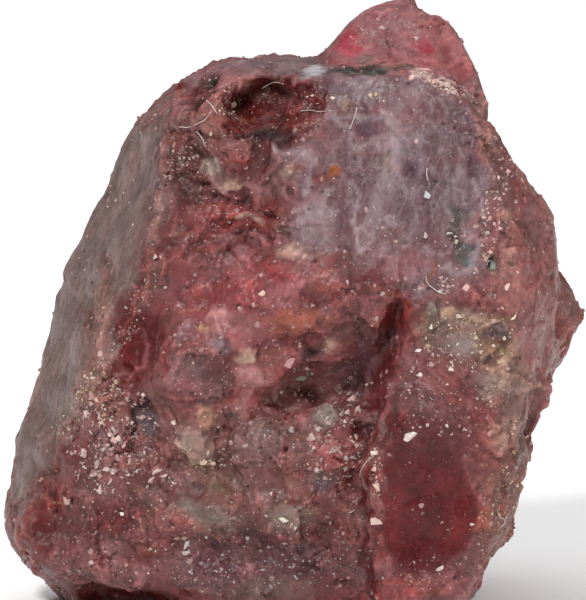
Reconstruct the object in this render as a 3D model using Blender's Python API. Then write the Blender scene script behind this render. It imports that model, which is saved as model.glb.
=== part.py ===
"""Raw ruby crystal: a broken, barrel-shaped corundum crystal with a smaller crystal grown onto its top.

It is one natural piece, so it is one object, ruby_crystal. Everything is modelled in millimetres, with +Z up
and -Y towards the front, and the finished mesh is scaled to metres. It stands on its flat basal parting.
"""

import math

import bmesh
import bpy
import numpy as np
from mathutils import Vector, noise

# Driving dimensions, in millimetres.
WIDTH = 15.6
DEPTH = 11.8
HEIGHT = 16.0

MM = 0.001
TRIANGLES = 9600
STOCK_SIZE = 60.0
VOXEL = 0.17

# A crystal face is (azimuth, lean, distance): azimuth 0 looks to the front and +90 to the right, and lean is
# how far the face looks up from level, both in degrees. Distance is from the block's centre.
BARREL_CENTRE = (0.0, 0.0, 7.5)
BARREL_FACES = {
    "left, upper": (-75, 23, 5.36),
    "left, lower": (-74, 13, 5.60),
    "left shoulder": (-84, 50, 6.34),
    "left heel": (-80, -34, 8.95),
    "front": (-8, 8, 5.00),
    "front, lower": (-6, -7, 5.05),
    "front left, lower": (-38, 2, 6.00),
    "front heel": (-20, -42, 8.05),
    "right, upper": (57, 17, 8.15),
    "right, lower": (59, -15, 7.58),
    "right flank, upper": (98, 37, 7.02),
    "right flank, middle": (98, 0, 6.46),
    "right flank, lower": (98, -15, 6.42),
    "right heel": (80, -31, 7.95),
    "back shoulder": (174, 42, 5.75),
    "back, upper": (172, 18, 5.55),
    "back, lower": (178, -9, 5.75),
    "left flank, upper": (-128, 17, 5.95),
    "left flank, lower": (-128, -7, 6.20),
    "top": (0, 90, 6.90),
    "bottom": (0, -90, 7.90),
}

KNOB_CENTRE = (3.1, 1.6, 14.2)
KNOB_FACES = {
    "left": (-92, 35, 1.92),
    "left foot": (-96, 8, 2.20),
    "front": (-5, 20, 1.60),
    "crown": (60, 85, 1.62),
    "crown, left": (-94, 63, 1.70),
    "crown, right": (94, 57, 1.52),
    "right": (96, 24, 1.52),
    "right foot": (98, 0, 1.88),
    "back": (180, 9, 1.50),
    "bottom": (0, -90, 3.20),
}

SLAB_CENTRE = (4.3, -3.2, 4.2)
SLAB_FACES = {
    "window": (9, -3, 2.38),
    "front, upper": (8, 11, 2.55),
    "left, upper": (-98, 12, 2.10),
    "left, lower": (-98, -2, 2.03),
    "right": (62, -12, 2.02),
    "right flank": (98, -4, 1.75),
    "right heel": (80, -31, 2.05),
    "top": (20, 62, 4.10),
    "back": (180, 0, 2.00),
    "heel": (20, -40, 3.55),
    "bottom": (0, -90, 5.00),
}

SPUR_CENTRE = (6.2, -1.0, 8.2)
SPUR_FACES = {
    "upper": (92, 42, 1.12),
    "lower": (92, -24, 1.50),
    "front": (25, 5, 1.60),
    "back": (155, 5, 1.60),
    "left": (-90, 0, 2.00),
    "top": (0, 90, 1.60),
    "bottom": (0, -90, 2.20),
}

# The azimuth of each side of the stone. A place on a side is (across, up): across runs to the right as that
# side is seen, from the stone's axis, and up is the height above the base.
SIDES = {"front": 0, "right": 90, "back": 180, "left": -90}

# A relief feature is (across, up, half width, half height, roll in degrees, height, edge). A negative height
# is a pit. Edge is the share of the half sizes that slopes.
RELIEF = {
    "front": {
        "broken middle": (-2.0, 8.0, 3.4, 5.6, 12, -0.45, 0.35),
        "crater": (-0.70, 13.75, 1.25, 0.85, -12, -2.00, 0.75),
        "crater, right end": (0.75, 13.95, 0.75, 0.50, 5, -0.80, 0.80),
        "corner notch": (-2.30, 14.30, 0.35, 0.75, 25, -0.60, 0.80),
        "corner chip": (-2.75, 13.90, 0.45, 0.50, 10, -0.45, 0.80),
        "red lump": (-1.45, 12.55, 0.80, 0.85, 10, 0.75, 0.60),
        "gully": (-0.65, 12.30, 0.25, 0.95, 5, -0.60, 0.90),
        "dark hollow": (-2.80, 12.20, 0.80, 1.30, 8, -0.70, 0.70),
        "crack in the hollow": (-3.00, 13.35, 0.95, 0.14, 4, -0.50, 0.90),
        "slit": (-1.45, 11.15, 1.35, 0.22, -10, -0.70, 0.80),
        "tail of the slit": (-2.60, 10.65, 0.75, 0.18, 42, -0.65, 0.80),
        "second slit": (-1.20, 10.55, 0.85, 0.16, 5, -0.45, 0.90),
        "milky mass": (0.20, 10.40, 1.30, 1.50, 30, 0.30, 0.80),
        "bulge": (0.10, 8.75, 2.30, 1.05, 4, 0.75, 0.45),
        "cave": (0.85, 6.45, 1.45, 0.95, 0, -1.30, 0.55),
        "cave, left end": (-0.30, 6.00, 0.60, 0.60, 0, -0.70, 0.80),
        "left block": (-2.35, 6.85, 1.45, 1.55, 5, 0.70, 0.35),
        "left facets": (-4.10, 7.40, 0.75, 1.30, 8, -0.55, 0.60),
        "gap beside the block": (-3.75, 5.10, 0.45, 1.20, -8, -0.50, 0.80),
        "yellow lump": (-2.50, 5.05, 0.80, 0.85, -20, 0.45, 0.60),
        "grey plate": (-0.70, 4.75, 1.15, 0.90, 0, 0.35, 0.50),
        "chin": (-2.20, 3.00, 1.60, 0.55, 14, 0.45, 0.60),
        "chin, right": (-0.20, 2.80, 1.00, 0.60, 0, 0.40, 0.60),
        "ledge under the chin": (-1.00, 2.05, 2.40, 0.22, 0, -0.50, 0.90),
        "corner hollow": (-5.60, 2.60, 0.80, 1.00, -20, -0.45, 0.70),
        "underside hollow": (-4.40, 0.55, 1.90, 0.60, -4, -1.40, 0.60),
        "crevice, top": (2.50, 7.50, 0.34, 2.10, -16, -2.00, 0.95),
        "crevice, shelf": (1.85, 7.20, 0.65, 1.30, -10, -0.85, 0.90),
        "crevice, middle": (1.93, 5.00, 0.30, 1.50, -5, -1.80, 0.95),
        "crevice, foot": (2.08, 2.20, 0.28, 2.00, 8, -1.30, 0.95),
        "green pit": (4.30, 10.00, 0.28, 0.32, 0, -0.35, 0.90),
        "lower green pit": (5.30, 9.60, 0.22, 0.26, 0, -0.30, 0.90),
        "blue pit": (5.40, 7.80, 0.45, 0.40, 0, -0.35, 0.90),
        "yellow pit": (4.20, 8.30, 0.75, 0.45, -10, -0.25, 0.80),
    },
    "right": {
        "upper furrow": (-0.6, 10.6, 3.2, 0.30, -38, -0.40, 0.90),
        "long furrow": (0.4, 8.2, 4.2, 0.32, -36, -0.55, 0.90),
        "lower furrow": (-0.8, 5.2, 3.0, 0.26, -34, -0.40, 0.90),
        "broken corner": (2.9, 11.2, 1.5, 1.6, 20, -0.70, 0.60),
        "heel lump": (0.8, 2.8, 1.7, 1.2, 10, 0.45, 0.60),
        "heel pit": (-1.8, 1.4, 0.9, 0.7, 0, -0.60, 0.70),
    },
    "back": {
        "growth step": (0.6, 10.4, 8.0, 1.3, 8, -0.40, 0.15),
        "second step": (-3.4, 6.9, 5.5, 1.1, 6, 0.30, 0.15),
        "hollow": (2.2, 5.2, 1.8, 1.5, -25, -0.80, 0.60),
        "lump beside the hollow": (-0.9, 4.6, 1.2, 1.4, 15, 0.50, 0.60),
        "parting": (0.0, 2.5, 5.5, 0.20, -5, -0.45, 0.90),
        "crack": (3.7, 8.6, 0.20, 3.2, 14, -0.50, 0.90),
        "foot of the knob": (-2.6, 13.7, 1.8, 0.35, 0, -0.45, 0.90),
    },
    "left": {
        "long groove": (0.5, 7.6, 0.22, 4.6, 9, -0.30, 0.90),
        "second groove": (-1.1, 6.0, 0.18, 3.4, 7, -0.25, 0.90),
        "foot": (0.2, 2.7, 5.5, 2.3, 2, 0.42, 0.22),
        "scar": (2.9, 4.2, 1.0, 1.9, -12, -0.40, 0.60),
        "upper scar": (-2.4, 10.2, 1.2, 1.3, 20, -0.45, 0.60),
    },
}

# Where the stone is broken, not grown, its surface is rough: (across, up, half width, half height, roll, edge).
BROKEN = {
    "front": {
        "middle": (-1.6, 8.0, 3.6, 6.0, 12, 0.35),
        "top edge": (-0.5, 13.6, 3.6, 1.2, 0, 0.40),
        "lower left": (-4.6, 2.8, 3.0, 3.0, 0, 0.40),
        "foot": (0.0, 1.4, 6.0, 1.6, 0, 0.40),
        "rim of the slab": (6.0, 3.6, 0.9, 2.8, -14, 0.60),
    },
    "right": {
        "all": (0.0, 7.0, 5.5, 7.0, 0, 0.30),
    },
    "back": {
        "middle": (1.2, 6.4, 4.2, 5.2, -20, 0.30),
        "foot": (0.0, 1.2, 6.5, 1.6, 0, 0.40),
    },
    "left": {
        "foot": (0.0, 1.0, 5.5, 1.4, 0, 0.50),
    },
}
BLUNTNESS = 2.6  # of the outline of a feature or a patch: 2 is an ellipse, and more is squarer
WOBBLE = 0.24
WOBBLE_SIZE = 0.8
GLANCING = 0.05  # a side's features fade out where the surface looks away from the side
FACING = 0.45

# The surface is a mosaic of small flat crystal facets: (size, tilt) from coarse to fine, where it is broken.
MOSAIC = ((2.4, 0.13), (1.2, 0.14), (0.7, 0.08))
GROWN_SHARE = 0.30  # of the mosaic's height, where the stone is grown


def face_normal(azimuth, lean):
    """The direction that a face looks in."""
    turn, tilt = math.radians(azimuth), math.radians(lean)
    return Vector((math.sin(turn) * math.cos(tilt), -math.cos(turn) * math.cos(tilt), math.sin(tilt)))


def add_object(name, mesh):
    """A new object in the scene that holds this mesh."""
    made = bpy.data.objects.new(name, mesh)
    bpy.context.scene.collection.objects.link(made)
    return made


def cut_away(solid, point, normal):
    """Cuts off what lies beyond a plane, and closes the cut."""
    everything = solid.verts[:] + solid.edges[:] + solid.faces[:]
    bmesh.ops.bisect_plane(solid, geom=everything, plane_co=point, plane_no=normal, clear_outer=True)
    bmesh.ops.holes_fill(solid, edges=[edge for edge in solid.edges if edge.is_boundary])
    bmesh.ops.recalc_face_normals(solid, faces=solid.faces)


def crystal_block(name, centre, faces):
    """A convex crystal: stock that is cut back to each face in turn."""
    block = bmesh.new()
    bmesh.ops.create_cube(block, size=STOCK_SIZE)
    for azimuth, lean, distance in faces.values():
        normal = face_normal(azimuth, lean)
        cut_away(block, Vector(centre) + normal * distance, normal)
    mesh = bpy.data.meshes.new(name)
    block.to_mesh(mesh)
    block.free()
    return add_object(name, mesh)


def apply_modifiers(target):
    """Replaces the object's mesh by what its modifiers make of it."""
    graph = bpy.context.evaluated_depsgraph_get()
    made = bpy.data.meshes.new_from_object(target.evaluated_get(graph))
    target.modifiers.clear()
    target.data = made


def join(target, other):
    """Makes one solid of two that overlap."""
    union = target.modifiers.new("Join", "BOOLEAN")
    union.operation = "UNION"
    union.solver = "EXACT"
    union.object = other
    apply_modifiers(target)
    bpy.data.objects.remove(other)


def remesh(target):
    """Gives the surface an even, closed net of points."""
    net = target.modifiers.new("Net", "REMESH")
    net.mode = "VOXEL"
    net.voxel_size = VOXEL
    apply_modifiers(target)


def points_and_normals(mesh):
    """The mesh's vertices and their normals, as two arrays of rows."""
    points = np.empty(len(mesh.vertices) * 3)
    normals = np.empty(len(mesh.vertices) * 3)
    mesh.vertices.foreach_get("co", points)
    mesh.vertex_normals.foreach_get("vector", normals)
    return points.reshape(-1, 3), normals.reshape(-1, 3)


def set_points(mesh, points):
    mesh.vertices.foreach_set("co", points.ravel())
    mesh.update()


def smooth_step(low, high, value):
    share = np.clip((value - low) / (high - low), 0.0, 1.0)
    return share * share * (3.0 - 2.0 * share)


def mosaic(points, size, tilt):
    """The height at each point of a mosaic of flat facets: each cell is a plane with a tilt of its own."""
    heights = []
    for row in points / size:
        point = Vector(row)
        middle = noise.voronoi(point)[1][0]
        heights.append((point - middle).dot(noise.cell_vector(middle) * 2.0 - Vector((1, 1, 1))))
    return np.array(heights) * size * tilt


def footprint(points, normals, side, place):
    """The share, from 0 to 1, of each point that lies in a patch on one side of the stone."""
    across, up, half_width, half_height, roll, edge = place
    out = np.array(face_normal(SIDES[side], 0))
    rightwards = np.array(face_normal(SIDES[side] + 90, 0))
    turn = math.radians(roll)
    along = points @ rightwards - across
    rise = points[:, 2] - up
    u = (along * math.cos(turn) + rise * math.sin(turn)) / half_width
    v = (rise * math.cos(turn) - along * math.sin(turn)) / half_height
    reach = (np.abs(u) ** BLUNTNESS + np.abs(v) ** BLUNTNESS) ** (1 / BLUNTNESS)
    return (1.0 - smooth_step(1.0 - edge, 1.0, reach)) * smooth_step(GLANCING, FACING, normals @ out)


def carve_relief(mesh):
    """Raises and sinks the named features on the sides that they lie on."""
    points, normals = points_and_normals(mesh)
    wobbled = points + mosaic(points, WOBBLE_SIZE, WOBBLE)[:, None]
    carved = points.copy()
    for side, features in RELIEF.items():
        out = np.array(face_normal(SIDES[side], 0))
        for across, up, half_width, half_height, roll, height, edge in features.values():
            inside = footprint(wobbled, normals, side, (across, up, half_width, half_height, roll, edge))
            carved += height * inside[:, None] * out
    set_points(mesh, carved)


def roughen(mesh):
    """Breaks the surface into small facets, which stand out most where the stone is broken."""
    points, normals = points_and_normals(mesh)
    broken = np.zeros(len(points))
    for side, patches in BROKEN.items():
        for place in patches.values():
            broken = np.maximum(broken, footprint(points, normals, side, place))
    height = sum(mosaic(points, size, tilt) for size, tilt in MOSAIC)
    height *= GROWN_SHARE + (1.0 - GROWN_SHARE) * broken
    set_points(mesh, points + height[:, None] * normals)


def reduce(target, triangles):
    """Merges points where the surface is flattest, down to this many triangles."""
    target.modifiers.new("Triangles", "TRIANGULATE")
    apply_modifiers(target)
    fewer = target.modifiers.new("Fewer", "DECIMATE")
    fewer.ratio = triangles / len(target.data.polygons)
    apply_modifiers(target)


def cut_base(mesh):
    """Cuts the stone off flat at its basal parting."""
    stone = bmesh.new()
    stone.from_mesh(mesh)
    cut_away(stone, (0, 0, 0), (0, 0, -1))
    stone.to_mesh(mesh)
    stone.free()


def fit_to_size(mesh):
    """Brings the stone to its driving dimensions, in metres, with the origin under its middle."""
    points, _ = points_and_normals(mesh)
    low, high = points.min(axis=0), points.max(axis=0)
    share = (points - low) / (high - low) - (0.5, 0.5, 0.0)
    set_points(mesh, share * (WIDTH, DEPTH, HEIGHT) * MM)


def ruby_material():
    material = bpy.data.materials.new("raw_ruby")
    material.use_nodes = True
    shader = material.node_tree.nodes["Principled BSDF"]
    shader.inputs["Base Color"].default_value = (0.205, 0.080, 0.082, 1.0)
    shader.inputs["Roughness"].default_value = 0.45
    shader.inputs["Metallic"].default_value = 0.0
    return material


def build():
    for leftover in list(bpy.data.objects):
        bpy.data.objects.remove(leftover)
    stone = crystal_block("ruby_crystal", BARREL_CENTRE, BARREL_FACES)
    join(stone, crystal_block("knob", KNOB_CENTRE, KNOB_FACES))
    join(stone, crystal_block("slab", SLAB_CENTRE, SLAB_FACES))
    join(stone, crystal_block("spur", SPUR_CENTRE, SPUR_FACES))
    remesh(stone)
    carve_relief(stone.data)
    remesh(stone)
    roughen(stone.data)
    reduce(stone, TRIANGLES)
    cut_base(stone.data)
    fit_to_size(stone.data)
    stone.data.materials.append(ruby_material())


build()
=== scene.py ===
"""The dressed raw ruby crystal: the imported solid's surface made fine, painted, and strewn with chips and dust.

Shapes are worked out in millimetres, in the frame's own axes, and scaled to metres at the end. Places on the
front are given in pixels of a picture of 586 by 600, as the camera here sees the stone; places on the other
sides are (across, up) in millimetres, across running to the right as that side is seen.
"""

import math

import bmesh
import bpy
import numpy as np
from mathutils import Matrix, Vector, noise
from mathutils.bvhtree import BVHTree


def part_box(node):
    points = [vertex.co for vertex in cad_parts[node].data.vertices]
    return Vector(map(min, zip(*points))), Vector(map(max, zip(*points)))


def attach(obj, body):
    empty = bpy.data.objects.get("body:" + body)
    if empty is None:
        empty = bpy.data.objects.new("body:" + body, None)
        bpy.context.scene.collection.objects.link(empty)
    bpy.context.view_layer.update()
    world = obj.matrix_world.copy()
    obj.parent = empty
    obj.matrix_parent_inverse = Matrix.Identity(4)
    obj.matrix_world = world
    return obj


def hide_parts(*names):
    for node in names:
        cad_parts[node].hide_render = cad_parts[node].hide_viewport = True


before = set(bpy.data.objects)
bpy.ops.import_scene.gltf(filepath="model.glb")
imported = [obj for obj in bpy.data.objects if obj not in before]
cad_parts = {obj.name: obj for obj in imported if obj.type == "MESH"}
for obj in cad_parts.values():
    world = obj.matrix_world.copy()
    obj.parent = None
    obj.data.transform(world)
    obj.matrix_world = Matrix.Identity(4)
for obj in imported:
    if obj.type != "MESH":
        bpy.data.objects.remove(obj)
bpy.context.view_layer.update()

NODE = "ruby_crystal"
BODY = "root"
MM = 0.001
SEED = 7

# The picture: its size in pixels, the stone's height in it, and the camera that takes it.
PICTURE_WIDTH = 586
PICTURE_HEIGHT = 600
STONE_HEIGHT_PIXELS = 598
ELEVATION = math.radians(8)
LENS = 400
SENSOR = 36

LOW, HIGH = (np.array(corner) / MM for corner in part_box(NODE))
PIXEL = (HIGH[2] - LOW[2]) / STONE_HEIGHT_PIXELS
TOWARDS_EYE = np.array((0.0, -math.cos(ELEVATION), math.sin(ELEVATION)))
PICTURE_UP = np.array((0.0, math.sin(ELEVATION), math.cos(ELEVATION)))
AIM = PICTURE_UP * PICTURE_HEIGHT / 2 * PIXEL
EYE_DISTANCE = PICTURE_HEIGHT * PIXEL * LENS / SENSOR

# The fine surface: the net's spacing in millimetres, and half of it where the front faces the camera.
VOXEL = 0.145
SMOOTHING_ROUNDS = 2
FRONT_SMOOTHING_ROUNDS = 1
FRONT_FACING = 0.38
FRONT_DEPTH = 1.5

SIDES = {"front": 0, "right": 90, "back": 180, "left": -90}

# What the surface is made of: colour (sRGB, 0 to 255), roughness, grain (0 smooth to 1 broken into grains) and
# veil (0 bare to 1 under a milky, wispy film).
PALETTE = {
    "mauve": ((124, 80, 79), 0.34, 0.42, 0.10),
    "slab": ((116, 70, 70), 0.32, 0.28, 0.10),
    "flank": ((136, 86, 81), 0.32, 0.20, 0.10),
    "brown red": ((120, 68, 65), 0.34, 0.44, 0.00),
    "dark red": ((100, 44, 44), 0.30, 0.42, 0.00),
    "deep red": ((112, 52, 50), 0.30, 0.45, 0.00),
    "maroon": ((96, 32, 32), 0.35, 0.40, 0.00),
    "pitch": ((52, 16, 18), 0.45, 0.35, 0.00),
    "dusk": ((92, 58, 58), 0.30, 0.50, 0.00),
    "grit": ((132, 96, 90), 0.34, 0.70, 0.00),
    "plum": ((106, 68, 74), 0.28, 0.38, 0.10),
    "film": ((113, 89, 94), 0.30, 0.12, 0.80),
    "pale film": ((138, 112, 117), 0.32, 0.12, 0.70),
    "wisp": ((158, 142, 146), 0.40, 0.00, 0.40),
    "purple": ((80, 50, 61), 0.28, 0.10, 0.15),
    "coral": ((156, 64, 61), 0.30, 0.25, 0.12),
    "coral red": ((130, 50, 51), 0.30, 0.22, 0.15),
    "orange": ((174, 92, 68), 0.38, 0.20, 0.30),
    "rose": ((156, 94, 96), 0.30, 0.15, 0.12),
    "petal": ((178, 124, 122), 0.34, 0.15, 0.15),
    "pink": ((166, 46, 64), 0.28, 0.05, 0.05),
    "grey": ((118, 98, 93), 0.34, 0.05, 0.25),
    "lavender": ((126, 103, 110), 0.30, 0.15, 0.50),
    "tan": ((138, 98, 84), 0.38, 0.45, 0.10),
    "cream": ((208, 174, 154), 0.45, 0.30, 0.10),
    "crust": ((226, 194, 182), 0.40, 0.70, 0.00),
    "yellow cream": ((186, 148, 112), 0.45, 0.30, 0.10),
    "grey cream": ((158, 140, 126), 0.45, 0.40, 0.10),
    "olive": ((128, 114, 86), 0.45, 0.50, 0.10),
    "moss": ((82, 74, 64), 0.40, 0.45, 0.05),
    "umber": ((100, 78, 70), 0.40, 0.40, 0.10),
    "green grey": ((118, 112, 102), 0.42, 0.50, 0.15),
    "green black": ((54, 60, 54), 0.30, 0.50, 0.00),
    "teal": ((70, 80, 78), 0.30, 0.40, 0.05),
    "slate": ((96, 86, 92), 0.34, 0.35, 0.25),
    "window": ((92, 38, 40), 0.22, 0.00, 0.05),
    "window edge": ((110, 42, 41), 0.24, 0.00, 0.05),
    "window shade": ((78, 40, 43), 0.24, 0.00, 0.05),
    "rust": ((146, 78, 38), 0.40, 0.30, 0.00),
    # Painted reflection: the pale colour of a bright patch where the smooth top catches the light.
    "painted reflection": ((206, 200, 204), 0.14, 0.00, 0.10),
    "pinkish white": ((156, 112, 108), 0.40, 1.00, 0.10),
}

# The coats that cover whole sides: (side, substance, across, up, half width, half height, roll, strength, edge).
SIDE_COATS = {
    # The grey over the left face is a painted sheen: it stands for the soft reflection of light on that satin face.
    "left face": ("left", "grey", 0.0, 8.5, 9.0, 7.5, 0, 1.00, 0.20),
    "left foot": ("left", "mauve", 0.5, 1.5, 9.0, 2.6, 0, 0.90, 0.50),
    "left scar": ("left", "brown red", 2.9, 4.2, 1.4, 2.4, -12, 0.80, 0.60),
    "left haze": ("left", "lavender", -1.6, 9.0, 1.1, 4.6, 8, 0.70, 0.80),
    "left rust": ("left", "tan", 1.2, 7.4, 0.7, 3.4, 9, 0.60, 0.90),
    "right side": ("right", "flank", 0.0, 7.0, 9.0, 9.0, 0, 0.85, 0.20),
    "right shoulder": ("right", "tan", -0.5, 12.0, 2.2, 1.2, -30, 0.60, 0.80),
    "right streak": ("right", "coral", 0.8, 8.6, 3.6, 0.7, -36, 0.55, 0.90),
    "right shade": ("right", "dark red", 1.2, 6.2, 3.2, 0.8, -34, 0.65, 0.90),
    "right film": ("right", "lavender", -2.8, 5.0, 1.5, 2.0, 0, 0.60, 0.80),
    "back": ("back", "mauve", 0.0, 7.0, 9.0, 9.0, 0, 0.80, 0.20),
    "back film": ("back", "film", 1.4, 11.2, 3.4, 2.2, 10, 0.85, 0.60),
    "back coral": ("back", "coral", -2.6, 8.2, 2.2, 1.7, -15, 0.65, 0.70),
    "back hollow": ("back", "dark red", 2.2, 5.2, 1.9, 1.5, -25, 0.80, 0.70),
    "back grey": ("back", "green grey", -2.4, 3.9, 1.6, 0.9, 10, 0.55, 0.80),
    "back window": ("back", "window", 0.4, 2.2, 1.7, 1.2, 0, 0.85, 0.40),
    "back cream": ("back", "grey cream", 3.9, 8.8, 0.7, 1.0, 20, 0.55, 0.90),
    "back purple": ("back", "purple", -3.6, 11.6, 1.5, 1.5, 0, 0.60, 0.80),
}

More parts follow.
